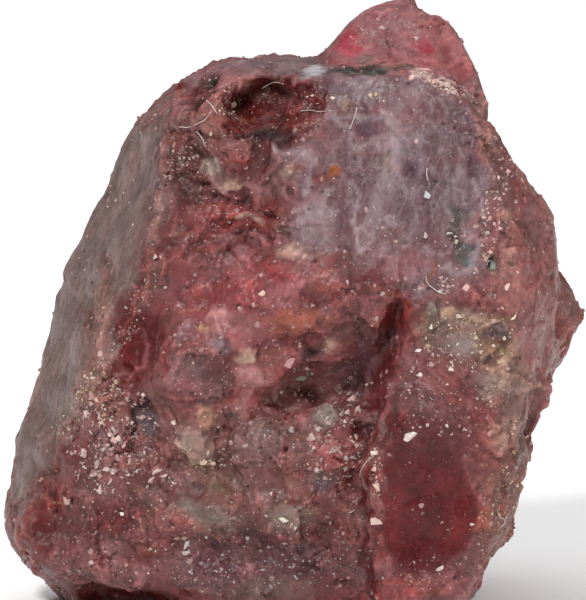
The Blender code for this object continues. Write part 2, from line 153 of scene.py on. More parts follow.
# The coats on the front, in picture pixels: (substance, x, y, half width, half height, roll, strength, edge).
FRONT_COATS = {
    "ground": ("brown red", 300, 320, 330, 330, 0, 0.70, 0.20),
    # The grey here and on the left face's low part is a painted sheen, standing for the soft reflection of light on
    # that face.
    "left face": ("grey", 86, 300, 44, 235, -21, 1.00, 0.30),
    "left face, red top": ("slab", 158, 98, 22, 34, -38, 0.50, 0.80),
    "left face, orange": ("tan", 100, 325, 13, 82, -12, 0.65, 0.80),
    "left face, green": ("umber", 84, 318, 10, 28, -14, 0.90, 0.80),
    "left face, haze": ("plum", 152, 190, 12, 92, -10, 0.35, 0.80),
    "left face, low rust": ("tan", 38, 400, 8, 28, -14, 0.60, 0.80),
    "left face, foot": ("brown red", 30, 540, 36, 36, 10, 0.70, 0.70),
    "left face, low": ("grey", 30, 450, 15, 62, -14, 0.95, 0.50),
    "top": ("film", 300, 66, 150, 12, 0, 0.80, 0.60),
    "film": ("film", 392, 175, 104, 98, -8, 0.95, 0.80),
    "film, right": ("film", 452, 150, 46, 86, 14, 0.85, 0.50),
    "film, lower": ("film", 430, 262, 74, 36, 10, 0.80, 0.70),
    "film, brow": ("film", 400, 90, 84, 15, 6, 0.90, 0.50),
    "film, left": ("pale film", 316, 226, 36, 30, 30, 0.75, 0.90),
    "film, upper left": ("pale film", 302, 152, 38, 15, 8, 0.30, 0.90),
    "film, centre": ("pale film", 402, 142, 20, 17, 10, 0.50, 0.80),
    "film, warm": ("rose", 402, 262, 36, 18, 0, 0.40, 0.80),
    "film, upper": ("film", 330, 84, 40, 8, 0, 0.85, 0.60),
    "purple, left": ("purple", 366, 132, 18, 9, 8, 0.90, 0.70),
    "purple, middle": ("purple", 409, 170, 15, 14, 30, 0.90, 0.70),
    "purple, right": ("purple", 472, 170, 8, 20, 8, 0.90, 0.70),
    "purple, low": ("purple", 343, 218, 10, 24, 0, 0.75, 0.80),
    "purple, lower": ("purple", 424, 234, 12, 16, 0, 0.45, 0.80),
    "purple, lower right": ("purple", 500, 264, 12, 12, 0, 0.35, 0.80),
    "purple, upper left": ("pale film", 346, 160, 22, 9, 4, 0.40, 0.80),
    "film, olive": ("olive", 346, 104, 6, 10, 0, 0.60, 0.80),
    "right flank": ("flank", 532, 290, 40, 150, 0, 0.95, 0.50),
    "right flank, upper": ("slab", 500, 160, 13, 62, 22, 0.70, 0.80),
    "right flank, shade": ("slab", 534, 220, 14, 60, 20, 0.60, 0.80),
    "right flank, spur": ("grey", 572, 300, 13, 28, 0, 0.45, 0.60),
    "right flank, red": ("petal", 524, 326, 16, 36, 10, 0.30, 0.80),
    "knob": ("rose", 404, 40, 90, 44, 0, 1.00, 0.20),
    "knob, left": ("pink", 347, 46, 15, 16, -10, 0.80, 0.45),
    "knob, left tip": ("coral red", 328, 58, 12, 6, 0, 0.80, 0.60),
    "knob, left brow": ("pink", 347, 34, 12, 8, -40, 0.35, 0.80),
    "knob, right": ("pink", 424, 50, 10, 9, 0, 0.75, 0.50),
    "knob, right foot": ("rose", 404, 52, 16, 4, 0, 0.35, 0.80),
    "knob, right edge": ("coral red", 460, 74, 12, 28, 20, 0.50, 0.80),
    "knob, brow": ("brown red", 440, 26, 18, 14, -20, 0.35, 0.80),
    "knob, lilac": ("lavender", 388, 22, 30, 14, 0, 0.35, 0.90),
    "top, front": ("film", 352, 84, 76, 9, 1, 0.95, 0.60),
    # The green-black along the knob's foot is painted shade in the gap between the knob and the top.
    "knob's foot": ("green black", 370, 70, 18, 5.5, 2, 1.00, 0.25),
    "knob's foot, grey": ("green grey", 366, 60, 14, 5, 0, 0.60, 0.70),
    "corner": ("rose", 230, 86, 30, 22, 0, 0.80, 0.60),
    "corner, pink": ("rose", 208, 116, 12, 12, 0, 0.25, 0.80),
    "corner, lilac": ("lavender", 196, 80, 7, 10, -30, 1.00, 0.80),
    "corner notch": ("pitch", 211, 83, 8, 13, -35, 1.00, 0.50),
    "corner, red": ("maroon", 196, 98, 14, 16, -28, 1.00, 0.55),
    "corner, red foot": ("pitch", 198, 104, 7, 9, -20, 1.00, 0.70),
    "crater": ("deep red", 270, 110, 56, 36, 4, 1.00, 0.40),
    "crater, red edge": ("dark red", 302, 84, 20, 9, 0, 0.80, 0.60),
    "crater, brown": ("mauve", 280, 100, 30, 13, 0, 0.40, 0.70),
    # The maroon and pitch on the crater's floors are partly its dark red and partly painted shade in the dug hollow.
    "crater, floor": ("maroon", 240, 114, 19, 30, -34, 0.90, 0.50),
    "crater, lower floor": ("pitch", 258, 130, 30, 13, 4, 1.00, 0.50),
    "crater, right floor": ("pitch", 314, 104, 14, 8, -10, 0.65, 0.70),
    "crater, foot": ("pitch", 284, 138, 18, 8, 20, 0.85, 0.70),
    "corner, brow": ("petal", 236, 84, 18, 9, 0, 0.80, 0.80),
    "dark hollow": ("dusk", 188, 180, 28, 46, 8, 0.75, 0.60),
    "hollow, mauve": ("deep red", 182, 144, 16, 9, 0, 0.40, 0.70),
    "hollow, red": ("pitch", 192, 149, 11, 5, -30, 0.70, 0.70),
    "hollow, floor": ("pitch", 184, 202, 16, 15, 10, 0.70, 0.80),
    "hollow, black spot": ("pitch", 203, 183, 10, 4, -20, 0.80, 0.60),
    "red lump": ("mauve", 241, 158, 24, 24, 0, 0.85, 0.60),
    "red lump, middle": ("coral", 238, 162, 14, 14, 0, 0.40, 0.80),
    "red lump, right": ("brown red", 250, 150, 12, 22, 0, 0.60, 0.80),
    "red lump, foot": ("petal", 252, 190, 18, 9, -10, 0.95, 0.70),
    "grey spot": ("grey cream", 214, 167, 11, 10, 0, 1.00, 0.50),
    "cream spot": ("cream", 230, 187, 11, 9, 0, 0.85, 0.70),
    "pale blob in the hollow": ("grey cream", 195, 212, 7, 7, 0, 0.35, 0.80),
    "slit bank": ("coral red", 236, 214, 54, 20, 4, 0.80, 0.60),
    "folds": ("rose", 248, 246, 42, 16, 10, 0.50, 0.70),
    "folds, red": ("dark red", 196, 246, 26, 16, 30, 0.95, 0.80),
    "folds, grey": ("mauve", 226, 256, 26, 12, 20, 0.80, 0.80),
    "pale fold": ("cream", 294, 253, 15, 12, 0, 0.60, 0.70),
    "cream lump": ("grey cream", 287, 172, 8, 8, 0, 0.65, 0.70),
    "rust spot": ("rust", 335, 171, 7, 5, 25, 1.00, 0.50),
    "rust spot, shade": ("dark red", 321, 179, 13, 5, 12, 0.85, 0.60),
    "coral zone": ("rose", 262, 298, 106, 44, 2, 0.55, 0.60),
    "coral, middle": ("coral red", 230, 292, 38, 19, 4, 0.70, 0.70),
    "coral, left": ("coral red", 186, 290, 24, 34, 10, 0.45, 0.80),
    "coral, deep": ("deep red", 320, 298, 30, 17, 5, 0.80, 0.80),
    "coral, shade": ("dark red", 372, 284, 34, 22, 0, 0.75, 0.80),
    "coral, pale streak": ("rose", 284, 288, 26, 8, 30, 0.75, 0.80),
    "coral, milk": ("coral red", 274, 270, 20, 12, 0, 0.75, 0.90),
    "orange heart": ("orange", 290, 322, 26, 12, 0, 0.90, 0.70),
    "orange heart, right": ("orange", 318, 320, 20, 9, 0, 0.65, 0.80),
    "lilac blob": ("lavender", 185, 328, 12, 15, -10, 0.50, 0.60),
    "pale blob": ("petal", 218, 318, 14, 13, 0, 0.65, 0.60),
    "pale blob, right": ("rose", 238, 334, 16, 12, -20, 0.80, 0.70),
    "lilac under the blob": ("lavender", 220, 344, 14, 12, -20, 0.75, 0.80),
    "cream blob": ("cream", 247, 354, 9, 8, 0, 1.00, 0.60),
    "yellow blob": ("yellow cream", 203, 328, 6, 5, 0, 0.80, 0.60),
    "coral tongue": ("petal", 247, 372, 11, 16, 4, 0.80, 0.60),
    "coral tongue, red": ("pink", 244, 395, 14, 14, 12, 0.95, 0.70),
    "coral tongue, glow": ("petal", 246, 384, 15, 16, 12, 0.65, 0.80),
    "left facets": ("window", 138, 345, 24, 44, -20, 0.90, 0.35),
    "left facets, dark": ("dark red", 130, 318, 17, 28, -22, 0.60, 0.70),
    "left facets, low": ("dark red", 126, 384, 20, 20, 0, 0.90, 0.80),
    "left block": ("mauve", 202, 370, 36, 32, 0, 0.90, 0.35),
    "left block, dusk": ("dusk", 206, 362, 24, 16, 0, 0.65, 0.80),
    "left block, milk": ("lavender", 190, 374, 26, 22, 0, 0.30, 0.80),
    "left block, pale": ("rose", 188, 386, 14, 10, 0, 0.80, 0.80),
    "left block, red foot": ("coral", 234, 403, 20, 8, 28, 0.85, 0.70),
    "yellow spot": ("yellow cream", 206, 420, 11, 11, 0, 0.90, 0.70),
    "cream lump, low": ("grey cream", 196, 446, 22, 18, -25, 0.85, 0.55),
    # The cave is painted lighter than its stone, as painted light that offsets the shade deep in it.
    "cave": ("rose", 318, 376, 50, 38, 0, 0.70, 0.50),
    "cave, brow": ("dark red", 306, 341, 34, 9, -4, 0.70, 0.70),
    "cave, upper": ("mauve", 334, 362, 18, 13, 0, 0.40, 0.70),
    # Pitch under the cave's brow is painted shade.
    "cave, depth": ("pitch", 312, 352, 15, 8, 0, 1.00, 0.70),
    "cave, brow spot": ("cream", 329, 344, 7, 8, 0, 0.70, 0.80),
    "cave, blob": ("mauve", 296, 398, 24, 14, 0, 0.90, 0.60),
    "cave, right bank": ("rose", 336, 396, 16, 9, 0, 0.45, 0.80),
    "grainy pinks": ("rose", 332, 440, 28, 34, 0, 0.30, 0.80),
    "green lump": ("green grey", 326, 416, 13, 10, 0, 0.95, 0.60),
    "grey plate": ("slate", 268, 434, 30, 30, 0, 0.40, 0.60),
    "grey plate, pale": ("green grey", 258, 424, 16, 12, 0, 0.25, 0.80),
    "under plate": ("plum", 238, 462, 28, 16, 0, 0.70, 0.70),
    "blue grey patch": ("slate", 322, 480, 20, 12, 10, 0.80, 0.70),
    "pink wedge": ("petal", 258, 505, 10, 14, 12, 0.60, 0.60),
    "green band": ("green grey", 204, 514, 38, 14, -14, 0.80, 0.70),
    "green band, right": ("grey cream", 286, 520, 26, 15, 10, 0.90, 0.70),
    "green band, dark": ("olive", 222, 482, 20, 14, 0, 0.70, 0.70),
    "green band, slate": ("dusk", 238, 486, 14, 9, 0, 0.95, 0.80),
    "foot": ("plum", 270, 566, 104, 40, 0, 0.90, 0.50),
    "foot, slate": ("dusk", 306, 560, 44, 24, 20, 0.40, 0.70),
    "foot, pale edge": ("grey cream", 268, 588, 56, 16, 0, 0.35, 0.80),
    "knuckle, pale": ("petal", 203, 428, 25, 24, 0, 0.38, 0.80),
    "foot, red": ("brown red", 340, 540, 22, 34, 0, 0.50, 0.80),
    "middle, haze": ("grey cream", 226, 462, 104, 84, 0, 0.15, 0.90),
    "red pit": ("coral red", 286, 449, 4, 4, 0, 1.00, 0.50),
    # Painted shade: dark red beside the crevice, where the slab's edge overhangs it.
    "crevice bank": ("dark red", 388, 360, 20, 62, -14, 0.60, 0.80),
    "crevice, slate bank": ("plum", 362, 364, 15, 40, -10, 0.85, 0.60),
    # Painted light: coral laid in the crevice's shaded pocket, so that it reads dark red rather than black.
    "crevice, top": ("coral", 398, 318, 11, 28, -14, 1.00, 0.60),
    "slab": ("slab", 440, 380, 66, 66, 0, 0.95, 0.50),
    # Painted shade: dark red along the slab's left edge, where it falls into the crevice.
    "slab, left": ("dark red", 400, 350, 11, 56, -14, 0.60, 0.80),
    "slab, brown middle": ("dark red", 424, 434, 34, 30, 0, 0.35, 0.80),
    "slab, sand": ("grey cream", 492, 386, 20, 20, 0, 0.70, 0.80),
    "slab, sand at the edge": ("grey cream", 518, 382, 18, 20, 0, 0.40, 0.80),
    "slab, red spot": ("dark red", 516, 396, 7, 7, 0, 0.50, 0.70),
    "slab, red left": ("pitch", 393, 420, 9, 16, -20, 0.80, 0.70),
    "slab, left glow": ("maroon", 396, 424, 12, 18, -20, 0.85, 0.80),
    "window": ("window", 428, 508, 49, 62, -3, 1.00, 0.16),
    "window, left": ("window", 402, 504, 23, 66, -3, 1.00, 0.20),
    "window, upper": ("window", 426, 472, 44, 32, 4, 0.95, 0.30),
    "window, low": ("window", 432, 544, 44, 32, 6, 1.00, 0.30),
    "window, brow": ("window shade", 438, 438, 44, 20, 8, 0.75, 0.90),
    "window, shade": ("window shade", 420, 550, 28, 20, 0, 0.30, 0.90),
    "window, middle": ("pitch", 428, 490, 14, 44, -4, 0.30, 0.90),
    "window, red left": ("window edge", 392, 504, 13, 54, -3, 0.85, 0.80),
    "window, red right": ("window edge", 454, 520, 15, 46, -5, 0.80, 0.80),
    "window, foot": ("coral", 404, 590, 46, 13, 6, 0.60, 0.70),
    "window, foot right": ("rose", 446, 578, 24, 12, 10, 0.60, 0.80),
    "rim": ("tan", 504, 508, 20, 62, -16, 0.60, 0.60),
    "rim, upper": ("grey cream", 508, 426, 16, 36, -14, 0.55, 0.80),
    "rim, orange": ("orange", 484, 520, 9, 12, 0, 0.50, 0.80),
    "yellow zone": ("olive", 468, 336, 50, 28, -14, 0.50, 0.50),
    "yellow zone, grey": ("moss", 436, 330, 14, 16, 0, 0.95, 0.45),
    "yellow zone, right": ("olive", 504, 354, 20, 22, 0, 0.60, 0.80),
    "yellow zone, milk": ("wisp", 464, 346, 18, 12, 0, 0.60, 0.80),
    "yellow zone, sand": ("cream", 470, 318, 18, 8, 0, 0.35, 0.80),
    "yellow zone, moss right": ("moss", 508, 338, 9, 7, 0, 1.00, 0.60),
    "blue pit": ("slate", 494, 334, 14, 7, 0, 0.80, 0.40),
    "green pit": ("green grey", 432, 310, 8, 8, 0, 1.00, 0.55),
    "yellow glint": ("yellow cream", 448, 313, 7, 5, 0, 1.00, 0.60),
    "yellow glint, right": ("cream", 503, 362, 7, 5, 0, 0.50, 0.60),
    "gold grain": ("umber", 491, 359, 5, 5, 0, 1.00, 0.60),
    "green grain": ("green black", 512, 364, 8, 9, 0, 0.80, 0.70),
    "dark inclusion, upper": ("teal", 456, 214, 16, 11, 0, 0.80, 0.80),
    "dark inclusion": ("green black", 452, 231, 11, 11, 20, 0.65, 0.70),
    "dark inclusion, low": ("teal", 465, 253, 15, 9, -20, 1.00, 0.35),
    "black pit": ("maroon", 452, 240, 3, 3, 0, 0.60, 0.70),
    "dark inclusion, right": ("green black", 492, 263, 8, 11, 10, 0.85, 0.50),
    "green at the edge": ("green grey", 524, 446, 9, 14, 0, 0.60, 0.80),
    "grainy corner": ("pinkish white", 116, 446, 44, 50, -20, 0.45, 0.80),
    "grainy corner, tan": ("tan", 100, 402, 28, 26, -20, 0.40, 0.80),
    "striped crystals": ("slate", 148, 420, 12, 26, 0, 0.75, 0.70),
    "corner, dark red": ("dark red", 116, 524, 32, 22, 10, 0.80, 0.50),
    "lower left": ("mauve", 90, 560, 66, 32, 0, 0.75, 0.60),
    "lower left, dark": ("dusk", 150, 480, 30, 22, 0, 0.45, 0.80),
    "corner holes": ("dark red", 42, 530, 12, 30, 8, 1.00, 0.80),
    # Painted shadow: dark maroon along the bottom edge, where the stone's foot is in shade.
    "painted shadow under the stone": ("maroon", 140, 596, 70, 9, 0, 1.00, 0.45),
    # Painted reflection: the bright patch where the smooth top edge catches the light.
    "painted reflection on the top": ("painted reflection", 314, 69, 13, 5, 4, 1.00, 0.45),
}

# Coats laid as strokes, in picture pixels: (substance, half width, strength, the stroke's points).
STROKES = {
    "wisp, long": ("wisp", 3, 0.65, ((351, 180), (356, 196), (357, 210), (355, 226), (359, 252))),
    "wisp, upper": ("wisp", 6, 0.70, ((388, 116), (396, 134), (400, 152), (391, 170), (382, 186))),
    "wisp, branch": ("wisp", 3, 0.60, ((391, 170), (402, 184), (404, 192))),
    "wisp, left": ("wisp", 4, 0.60, ((336, 120), (346, 132), (353, 146))),
    "wisp, inner": ("wisp", 3, 0.65, ((318, 162), (311, 172), (309, 184), (306, 196))),
    "wisp, right": ("wisp", 3, 0.50, ((440, 150), (448, 172), (443, 196), (446, 216))),
    "wisp, edge": ("wisp", 3, 0.70, ((473, 180), (478, 192), (484, 214))),
    "wisp, low right": ("wisp", 4, 0.60, ((448, 262), (458, 272), (472, 262), (480, 246))),
    "wisp, low": ("wisp", 3, 0.40, ((412, 200), (415, 222), (408, 240))),
    "wisp, mass": ("wisp", 6, 0.50, ((330, 196), (320, 212), (306, 218), (298, 234))),
    "wisp, across": ("wisp", 5, 0.50, ((276, 148), (300, 152), (318, 162))),
    "olive speck": ("olive", 3.5, 0.85, ((388, 156), (387, 168))),
    "wisp, brow": ("wisp", 4, 0.45, ((330, 118), (360, 116), (384, 120))),
    "wisp, haze": ("pale film", 14, 0.45, ((398, 112), (410, 134), (396, 164), (376, 190))),
    "wisp, cross": ("wisp", 2.5, 0.45, ((396, 142), (416, 138), (436, 146))),
    "slit": ("dark red", 3.5, 0.90, ((230, 205), (246, 207), (260, 211), (276, 218))),
    "left slit": ("dark red", 3.0, 0.85, ((198, 238), (208, 227), (222, 217))),
    "second slit": ("dark red", 3.0, 0.85, ((234, 233), (248, 229), (262, 231), (270, 237))),
    "arc": ("dark red", 3.0, 0.70, ((184, 258), (194, 240), (214, 228), (236, 222), (262, 224), (284, 236))),
    "lower arc": ("coral red", 3.0, 0.60, ((216, 262), (226, 248), (242, 242), (258, 246))),
    "pale fold line": ("grey cream", 2.5, 0.70, ((236, 219), (248, 216), (262, 221))),
    "crack": ("dark red", 2.5, 0.80, ((168, 135), (184, 131), (200, 133), (216, 137))),
    "shade of the lump": ("dark red", 4.0, 0.90, ((267, 138), (268, 152), (266, 170))),
    "purple line": ("dark red", 1.6, 0.45, ((336, 156), (352, 154), (370, 156), (388, 155))),
    "red rim": ("coral red", 4.0, 0.70, ((172, 330), (166, 344), (163, 360), (166, 376))),
    "pale rim": ("rose", 3.0, 0.60, ((168, 382), (170, 398), (180, 410), (196, 412))),
    "coral tongue": ("petal", 8, 0.80, ((250, 380), (247, 394), (240, 406))),
    "facet edge": ("rose", 1.8, 0.60, ((120, 336), (142, 330), (150, 346), (146, 366), (128, 376))),
    "cave arc": ("grey cream", 2.0, 0.70, ((270, 394), (276, 404), (288, 411), (302, 412))),
    "vein": ("tan", 3.5, 0.60, ((304, 446), (298, 466), (290, 486), (284, 504))),
    # The dark reds along the crevice are painted shade in the cleft.
    "crevice": ("dark red", 12.0, 0.65, ((400, 300), (390, 330), (381, 362), (374, 400))),
    "crevice, low": ("dark red", 7.0, 0.85, ((375, 400), (367, 440), (362, 480), (359, 520))),
    "crevice, foot": ("dark red", 5.0, 0.80, ((359, 520), (361, 556), (370, 600))),
    # The green-black along the knob's foot is painted shade in the gap between the knob and the top.
    "knob's foot": ("green black", 4.5, 1.00, ((330, 69), (344, 70), (358, 70))),
    "knob's foot, right": ("green black", 4.2, 1.00, ((384, 69), (398, 68), (411, 67))),
    "knob's streak": ("petal", 3, 0.45, ((446, 26), (452, 44), (458, 66))),
    "knob's second streak": ("coral red", 3, 0.40, ((438, 22), (444, 44), (448, 70))),
    "cream band": ("crust", 5.5, 1.00, ((414, 76), (426, 76), (437, 81), (448, 87))),
    "cream band, right": ("crust", 3.0, 0.70, ((448, 87), (460, 92), (470, 97))),
    "right ridge": ("grit", 8, 0.80, ((478, 96), (488, 140), (496, 170), (505, 206), (510, 240), (508, 268))),
    "right ridge, brow": ("tan", 2.5, 0.45, ((471, 92), (480, 140), (488, 168), (498, 206), (503, 236))),
    "gold thread": ("rust", 2.2, 0.75, ((435, 262), (430, 272), (426, 284))),
    "left ridge": ("tan", 3.0, 0.35, ((166, 152), (158, 200), (152, 248), (146, 296), (118, 346), (98, 380), (62, 436), (46, 500))),
    "left ridge, top": ("rose", 2.5, 0.50, ((215, 67), (196, 83), (181, 108), (170, 130), (166, 152))),
    "edge of the knob": ("rose", 3.0, 0.50, ((424, 36), (440, 50), (452, 72))),
    "blue pit's edge": ("cream", 2.0, 0.80, ((482, 326), (496, 322), (506, 328))),
    "window's edge": ("dark red", 3.0, 0.60, ((382, 436), (376, 470), (374, 520), (378, 560))),
}

# Small forms, in picture pixels: (x, y, half width, half height, roll, height in millimetres, edge).
FORMS = {
    "corner notch": (211, 82, 5, 11, -35, -0.22, 0.80),
    "corner, red": (193, 99, 8, 12, -28, -0.16, 0.80),
    "crater, floor": (240, 115, 17, 28, -34, -0.22, 0.80),
    "crater": (276, 108, 44, 26, 4, -0.12, 0.60),
    "crater, lower floor": (252, 125, 24, 12, 0, -0.14, 0.70),
    "grey spot": (214, 167, 10, 9, 0, 0.05, 0.70),
    "cream spot": (230, 187, 10, 8, 0, 0.06, 0.70),
    "black spot": (203, 183, 9, 4, -20, -0.15, 0.80),
    "pale fold": (294, 253, 14, 11, 0, 0.14, 0.70),
    "cream lump": (287, 172, 8, 8, 0, 0.10, 0.80),
    "pit": (289, 191, 5, 6, 0, -0.16, 0.70),
    "pit's lip": (295, 191, 4, 6, 0, 0.08, 0.80),
    "rust spot": (335, 171, 8, 5, 25, 0.06, 0.70),
    "pale blob": (218, 318, 13, 12, 0, 0.10, 0.60),
    "pale blob, right": (238, 334, 15, 11, -20, 0.08, 0.70),
    "lilac blob": (185, 328, 11, 14, -10, 0.08, 0.70),
    "cream blob": (247, 354, 9, 8, 0, 0.08, 0.70),
    "left block": (202, 370, 34, 30, 0, 0.10, 0.20),
    "yellow spot": (206, 420, 10, 10, 0, 0.07, 0.90),
    "cream lump, low": (196, 446, 20, 16, -25, 0.07, 0.50),
    "facet": (136, 354, 15, 20, -15, 0.10, 0.25),
    "cave, fill": (300, 388, 44, 30, 8, 0.22, 0.95),
    "green lump": (326, 416, 12, 9, 0, 0.16, 0.60),
    "grey plate": (268, 434, 26, 28, 0, 0.10, 0.25),
    "red pit": (286, 449, 3.5, 3.5, 0, -0.14, 0.70),
    "green band": (204, 514, 36, 12, -14, 0.05, 0.80),
    "green band, right": (286, 520, 24, 13, 10, 0.05, 0.80),
    "pink wedge": (260, 498, 11, 17, 12, 0.08, 0.40),
    "window": (428, 508, 48, 64, -3, -0.05, 0.25),
    "right bump": (546, 416, 14, 14, 0, -0.24, 0.80),
    "right spur": (580, 336, 10, 12, 0, -0.16, 0.80),
    "right dent": (544, 386, 14, 10, 0, 0.20, 0.80),
    "right foot dent": (524, 478, 12, 12, 0, 0.16, 0.80),
    "knob's shoulder": (436, 10, 18, 12, 0, -0.20, 0.90),
    "green pit": (432, 310, 7, 7, 0, 0.08, 0.60),
    "blue pit": (496, 334, 13, 8, 0, -0.06, 0.60),
    "black pit": (452, 240, 5, 5, 0, -0.08, 0.70),
    "teal lump": (463, 253, 11, 8, -20, 0.06, 0.60),
    "dark inclusion, right": (492, 263, 6, 9, 10, -0.08, 0.60),
    "ring": (110, 460, 8, 8, 0, 0.08, 0.40),
    "crevice, fill": (394, 316, 9, 26, -14, 0.14, 0.90),
}

# Small forms on the other sides: (side, across, up, half width, half height, roll, height, edge), in millimetres.
SIDE_FORMS = {
    "left, waist": ("left", -0.3, 5.6, 2.6, 0.8, 0, 0.22, 0.90),
    "left, shoulder": ("left", -0.3, 10.3, 3.0, 1.1, 0, 0.16, 0.90),
    "left, bulge": ("left", -0.2, 3.4, 2.8, 0.9, 0, -0.12, 0.90),
    "left, neck": ("left", -0.3, 13.2, 2.6, 0.7, 0, 0.20, 0.90),
    "right, spur": ("right", -1.4, 7.1, 1.2, 0.5, 0, -0.22, 0.90),
    "right, bulge": ("right", -3.0, 5.3, 1.6, 0.5, 0, -0.22, 0.90),
    "right, knob's shoulder": ("right", 1.5, 15.95, 3.0, 0.3, 0, -0.25, 0.90),
}

# Creases and raised threads, in picture pixels: (half width, height in millimetres, the line's points).
CREASES = {
    "slit": (4.5, -0.09, ((230, 205), (246, 207), (260, 211), (276, 218))),
    "left slit": (4.0, -0.08, ((198, 238), (208, 227), (222, 217))),
    "second slit": (4.0, -0.06, ((234, 233), (248, 229), (262, 231), (270, 237))),
    "arc": (5.0, -0.06, ((184, 258), (194, 240), (214, 228), (236, 222), (262, 224), (284, 236))),
    "lower arc": (5.0, -0.08, ((216, 262), (226, 248), (242, 242), (258, 246))),
    "fold": (5.0, 0.08, ((224, 216), (240, 219), (256, 222), (274, 230))),
    "crack": (3.5, -0.07, ((168, 135), (184, 131), (200, 133), (216, 137))),
    "shade of the lump": (5.0, -0.05, ((267, 138), (268, 152), (266, 170))),
    "crevice": (7.0, -0.04, ((402, 296), (392, 330), (383, 362), (375, 400))),
    "crevice, low": (6.0, -0.12, ((375, 400), (367, 440), (362, 480), (359, 520))),
    "crevice, foot": (5.0, -0.10, ((359, 520), (361, 556), (370, 600))),
    "wisp, long": (4.0, 0.03, ((352, 172), (355, 190), (357, 208), (355, 226), (360, 254))),
    "wisp, upper": (6.0, 0.03, ((388, 116), (396, 134), (400, 152), (391, 170), (382, 186))),
    "left ridge": (6.0, 0.06, ((166, 152), (158, 200), (152, 248), (146, 296), (118, 346), (98, 380), (62, 436), (46, 500))),
    "left ridge, top": (5.0, 0.08, ((215, 67), (196, 83), (181, 108), (170, 130), (166, 152))),
    "window's edge": (4.0, 0.06, ((382, 436), (376, 470), (374, 520), (378, 560))),
    "knob's foot": (6.0, -0.05, ((344, 71), (356, 71), (370, 71), (386, 70))),
    "knob's foot, right": (5.0, -0.05, ((392, 68), (402, 67), (411, 67))),
    "right ridge": (6.0, 0.04, ((471, 92), (480, 140), (488, 168), (498, 206), (503, 236), (504, 262))),
}

# Where the surface is drawn out in fine lines: (kind, x, y, half width, half height, roll, strength, edge).
LINED = {
    "left face": ("lengthwise", 88, 300, 56, 260, -21, 1.00, 0.30),
    "left ridge": ("lengthwise", 150, 220, 16, 110, -10, 1.00, 0.60),
    "slab, upper": ("falling", 460, 396, 56, 52, 0, 1.00, 0.60),
    "right flank": ("lengthwise", 536, 260, 40, 160, 0, 0.80, 0.50),
    "knob, right": ("lengthwise", 446, 62, 34, 38, 0, 0.60, 0.60),
    "window": ("lengthwise", 432, 506, 56, 72, 4, 0.30, 0.30),
    "rim": ("lengthwise", 506, 500, 20, 66, -14, 0.70, 0.60),
    "film": ("lengthwise", 420, 180, 80, 90, 0, 0.20, 0.60),
    "crater": ("falling", 275, 108, 46, 34, 0, 0.60, 0.60),
    "foot": ("falling", 260, 545, 110, 50, 0, 0.60, 0.60),
    "lower left": ("rising", 110, 470, 60, 60, 0, 0.60, 0.60),
    "corner": ("rising", 226, 100, 34, 34, 0, 0.70, 0.60),
    "slits": ("falling", 240, 230, 50, 40, 0, 0.60, 0.60),
    "dark hollow": ("rising", 188, 180, 30, 56, 8, 0.90, 0.60),
}

# The kinds of lines, and how far they lean over to the right, in degrees.
LINE_KINDS = {"lengthwise": 17, "falling": -53, "rising": 48}

# How far the outlines of the coats wander: (size of the noise, reach), in millimetres. A coat smaller than the
# noise wanders less, so that it stays in its place.
WANDER = ((1.5, 0.42), (0.5, 0.24), (0.22, 0.10))

# A stroke wanders as a coat of this many times its half width does.
STROKE_WANDER = 2.5

# The share of the front's coats that a surface takes runs from none to all between these two facings.
GLANCING = -0.02
FACING = 0.12

# The fine relief: (size, height, least share) of the swells, (size, tilt, least share) of the facets, both of
# which grow with the grain, and (size, height) of the crags where it is grainy.
SWELLS = ((1.6, 0.070, 1.00), (0.7, 0.050, 0.60), (0.32, 0.024, 0.20))
FACETS = ((1.10, 0.24, 0.16), (0.50, 0.30, 0.04), (0.24, 0.20, 0.00))
CRAGS = ((0.60, 0.04), (0.26, 0.02))

# The share of the relief that the sides take, where the net is too coarse for all of it.
SIDE_RELIEF = 0.45

# Where the stone is clear its lumps are smoothed out: the grain below which all are and above which none is.
CALM = (0.12, 0.42)
CALM_ROUNDS = 45

# The clear patches: how far apart they lie in millimetres, how much of each of red, green and blue their depth
# takes, and how much of the grain is lost in them.
CLEAR_SIZE = 0.95
CLEAR_DEPTH = np.array((0.22, 0.27, 0.25))
CLEARNESS = 0.75

# How much of each of red, green and blue the painted shade in the hollows takes.
PAINTED_SHADE_TINT = np.array((0.80, 1.00, 1.00))

# What light adds by reflection before the paint shows, and how bright a white surface would come out.
REFLECTED = 0.010
WHITE = 1.33


# ---------------------------------------------------------------------------------------------- small helpers

def linear(colour):
    """An sRGB colour from 0 to 255 as the linear one that a shader takes."""
    share = np.asarray(colour, float) / 255
    return np.where(share <= 0.04045, share / 12.92, ((share + 0.055) / 1.055) ** 2.4)


def paint_for(colour):
    """The paint that looks like this sRGB colour in the studio's light."""
    return np.maximum((linear(colour) - REFLECTED) / WHITE, 0.0025)


def smooth_step(low, high, value):
    share = np.clip((value - low) / (high - low), 0.0, 1.0)
    return share * share * (3.0 - 2.0 * share)


def add_object(name, data):
    made = bpy.data.objects.new(name, data)
    bpy.context.scene.collection.objects.link(made)
    return made


def apply_modifiers(target):
    graph = bpy.context.evaluated_depsgraph_get()
    made = bpy.data.meshes.new_from_object(target.evaluated_get(graph))
    target.modifiers.clear()
    target.data = made


def read_points(mesh):
    points = np.empty(len(mesh.vertices) * 3)
    mesh.vertices.foreach_get("co", points)
    return points.reshape(-1, 3)


def read_normals(mesh):
    normals = np.empty(len(mesh.vertices) * 3)
    mesh.vertex_normals.foreach_get("vector", normals)
    return normals.reshape(-1, 3)


def write_points(mesh, points):
    mesh.vertices.foreach_set("co", points.ravel())
    mesh.update()


def read_edges(mesh):
    edges = np.empty(len(mesh.edges) * 2, np.int64)
    mesh.edges.foreach_get("vertices", edges)
    return edges.reshape(-1, 2)


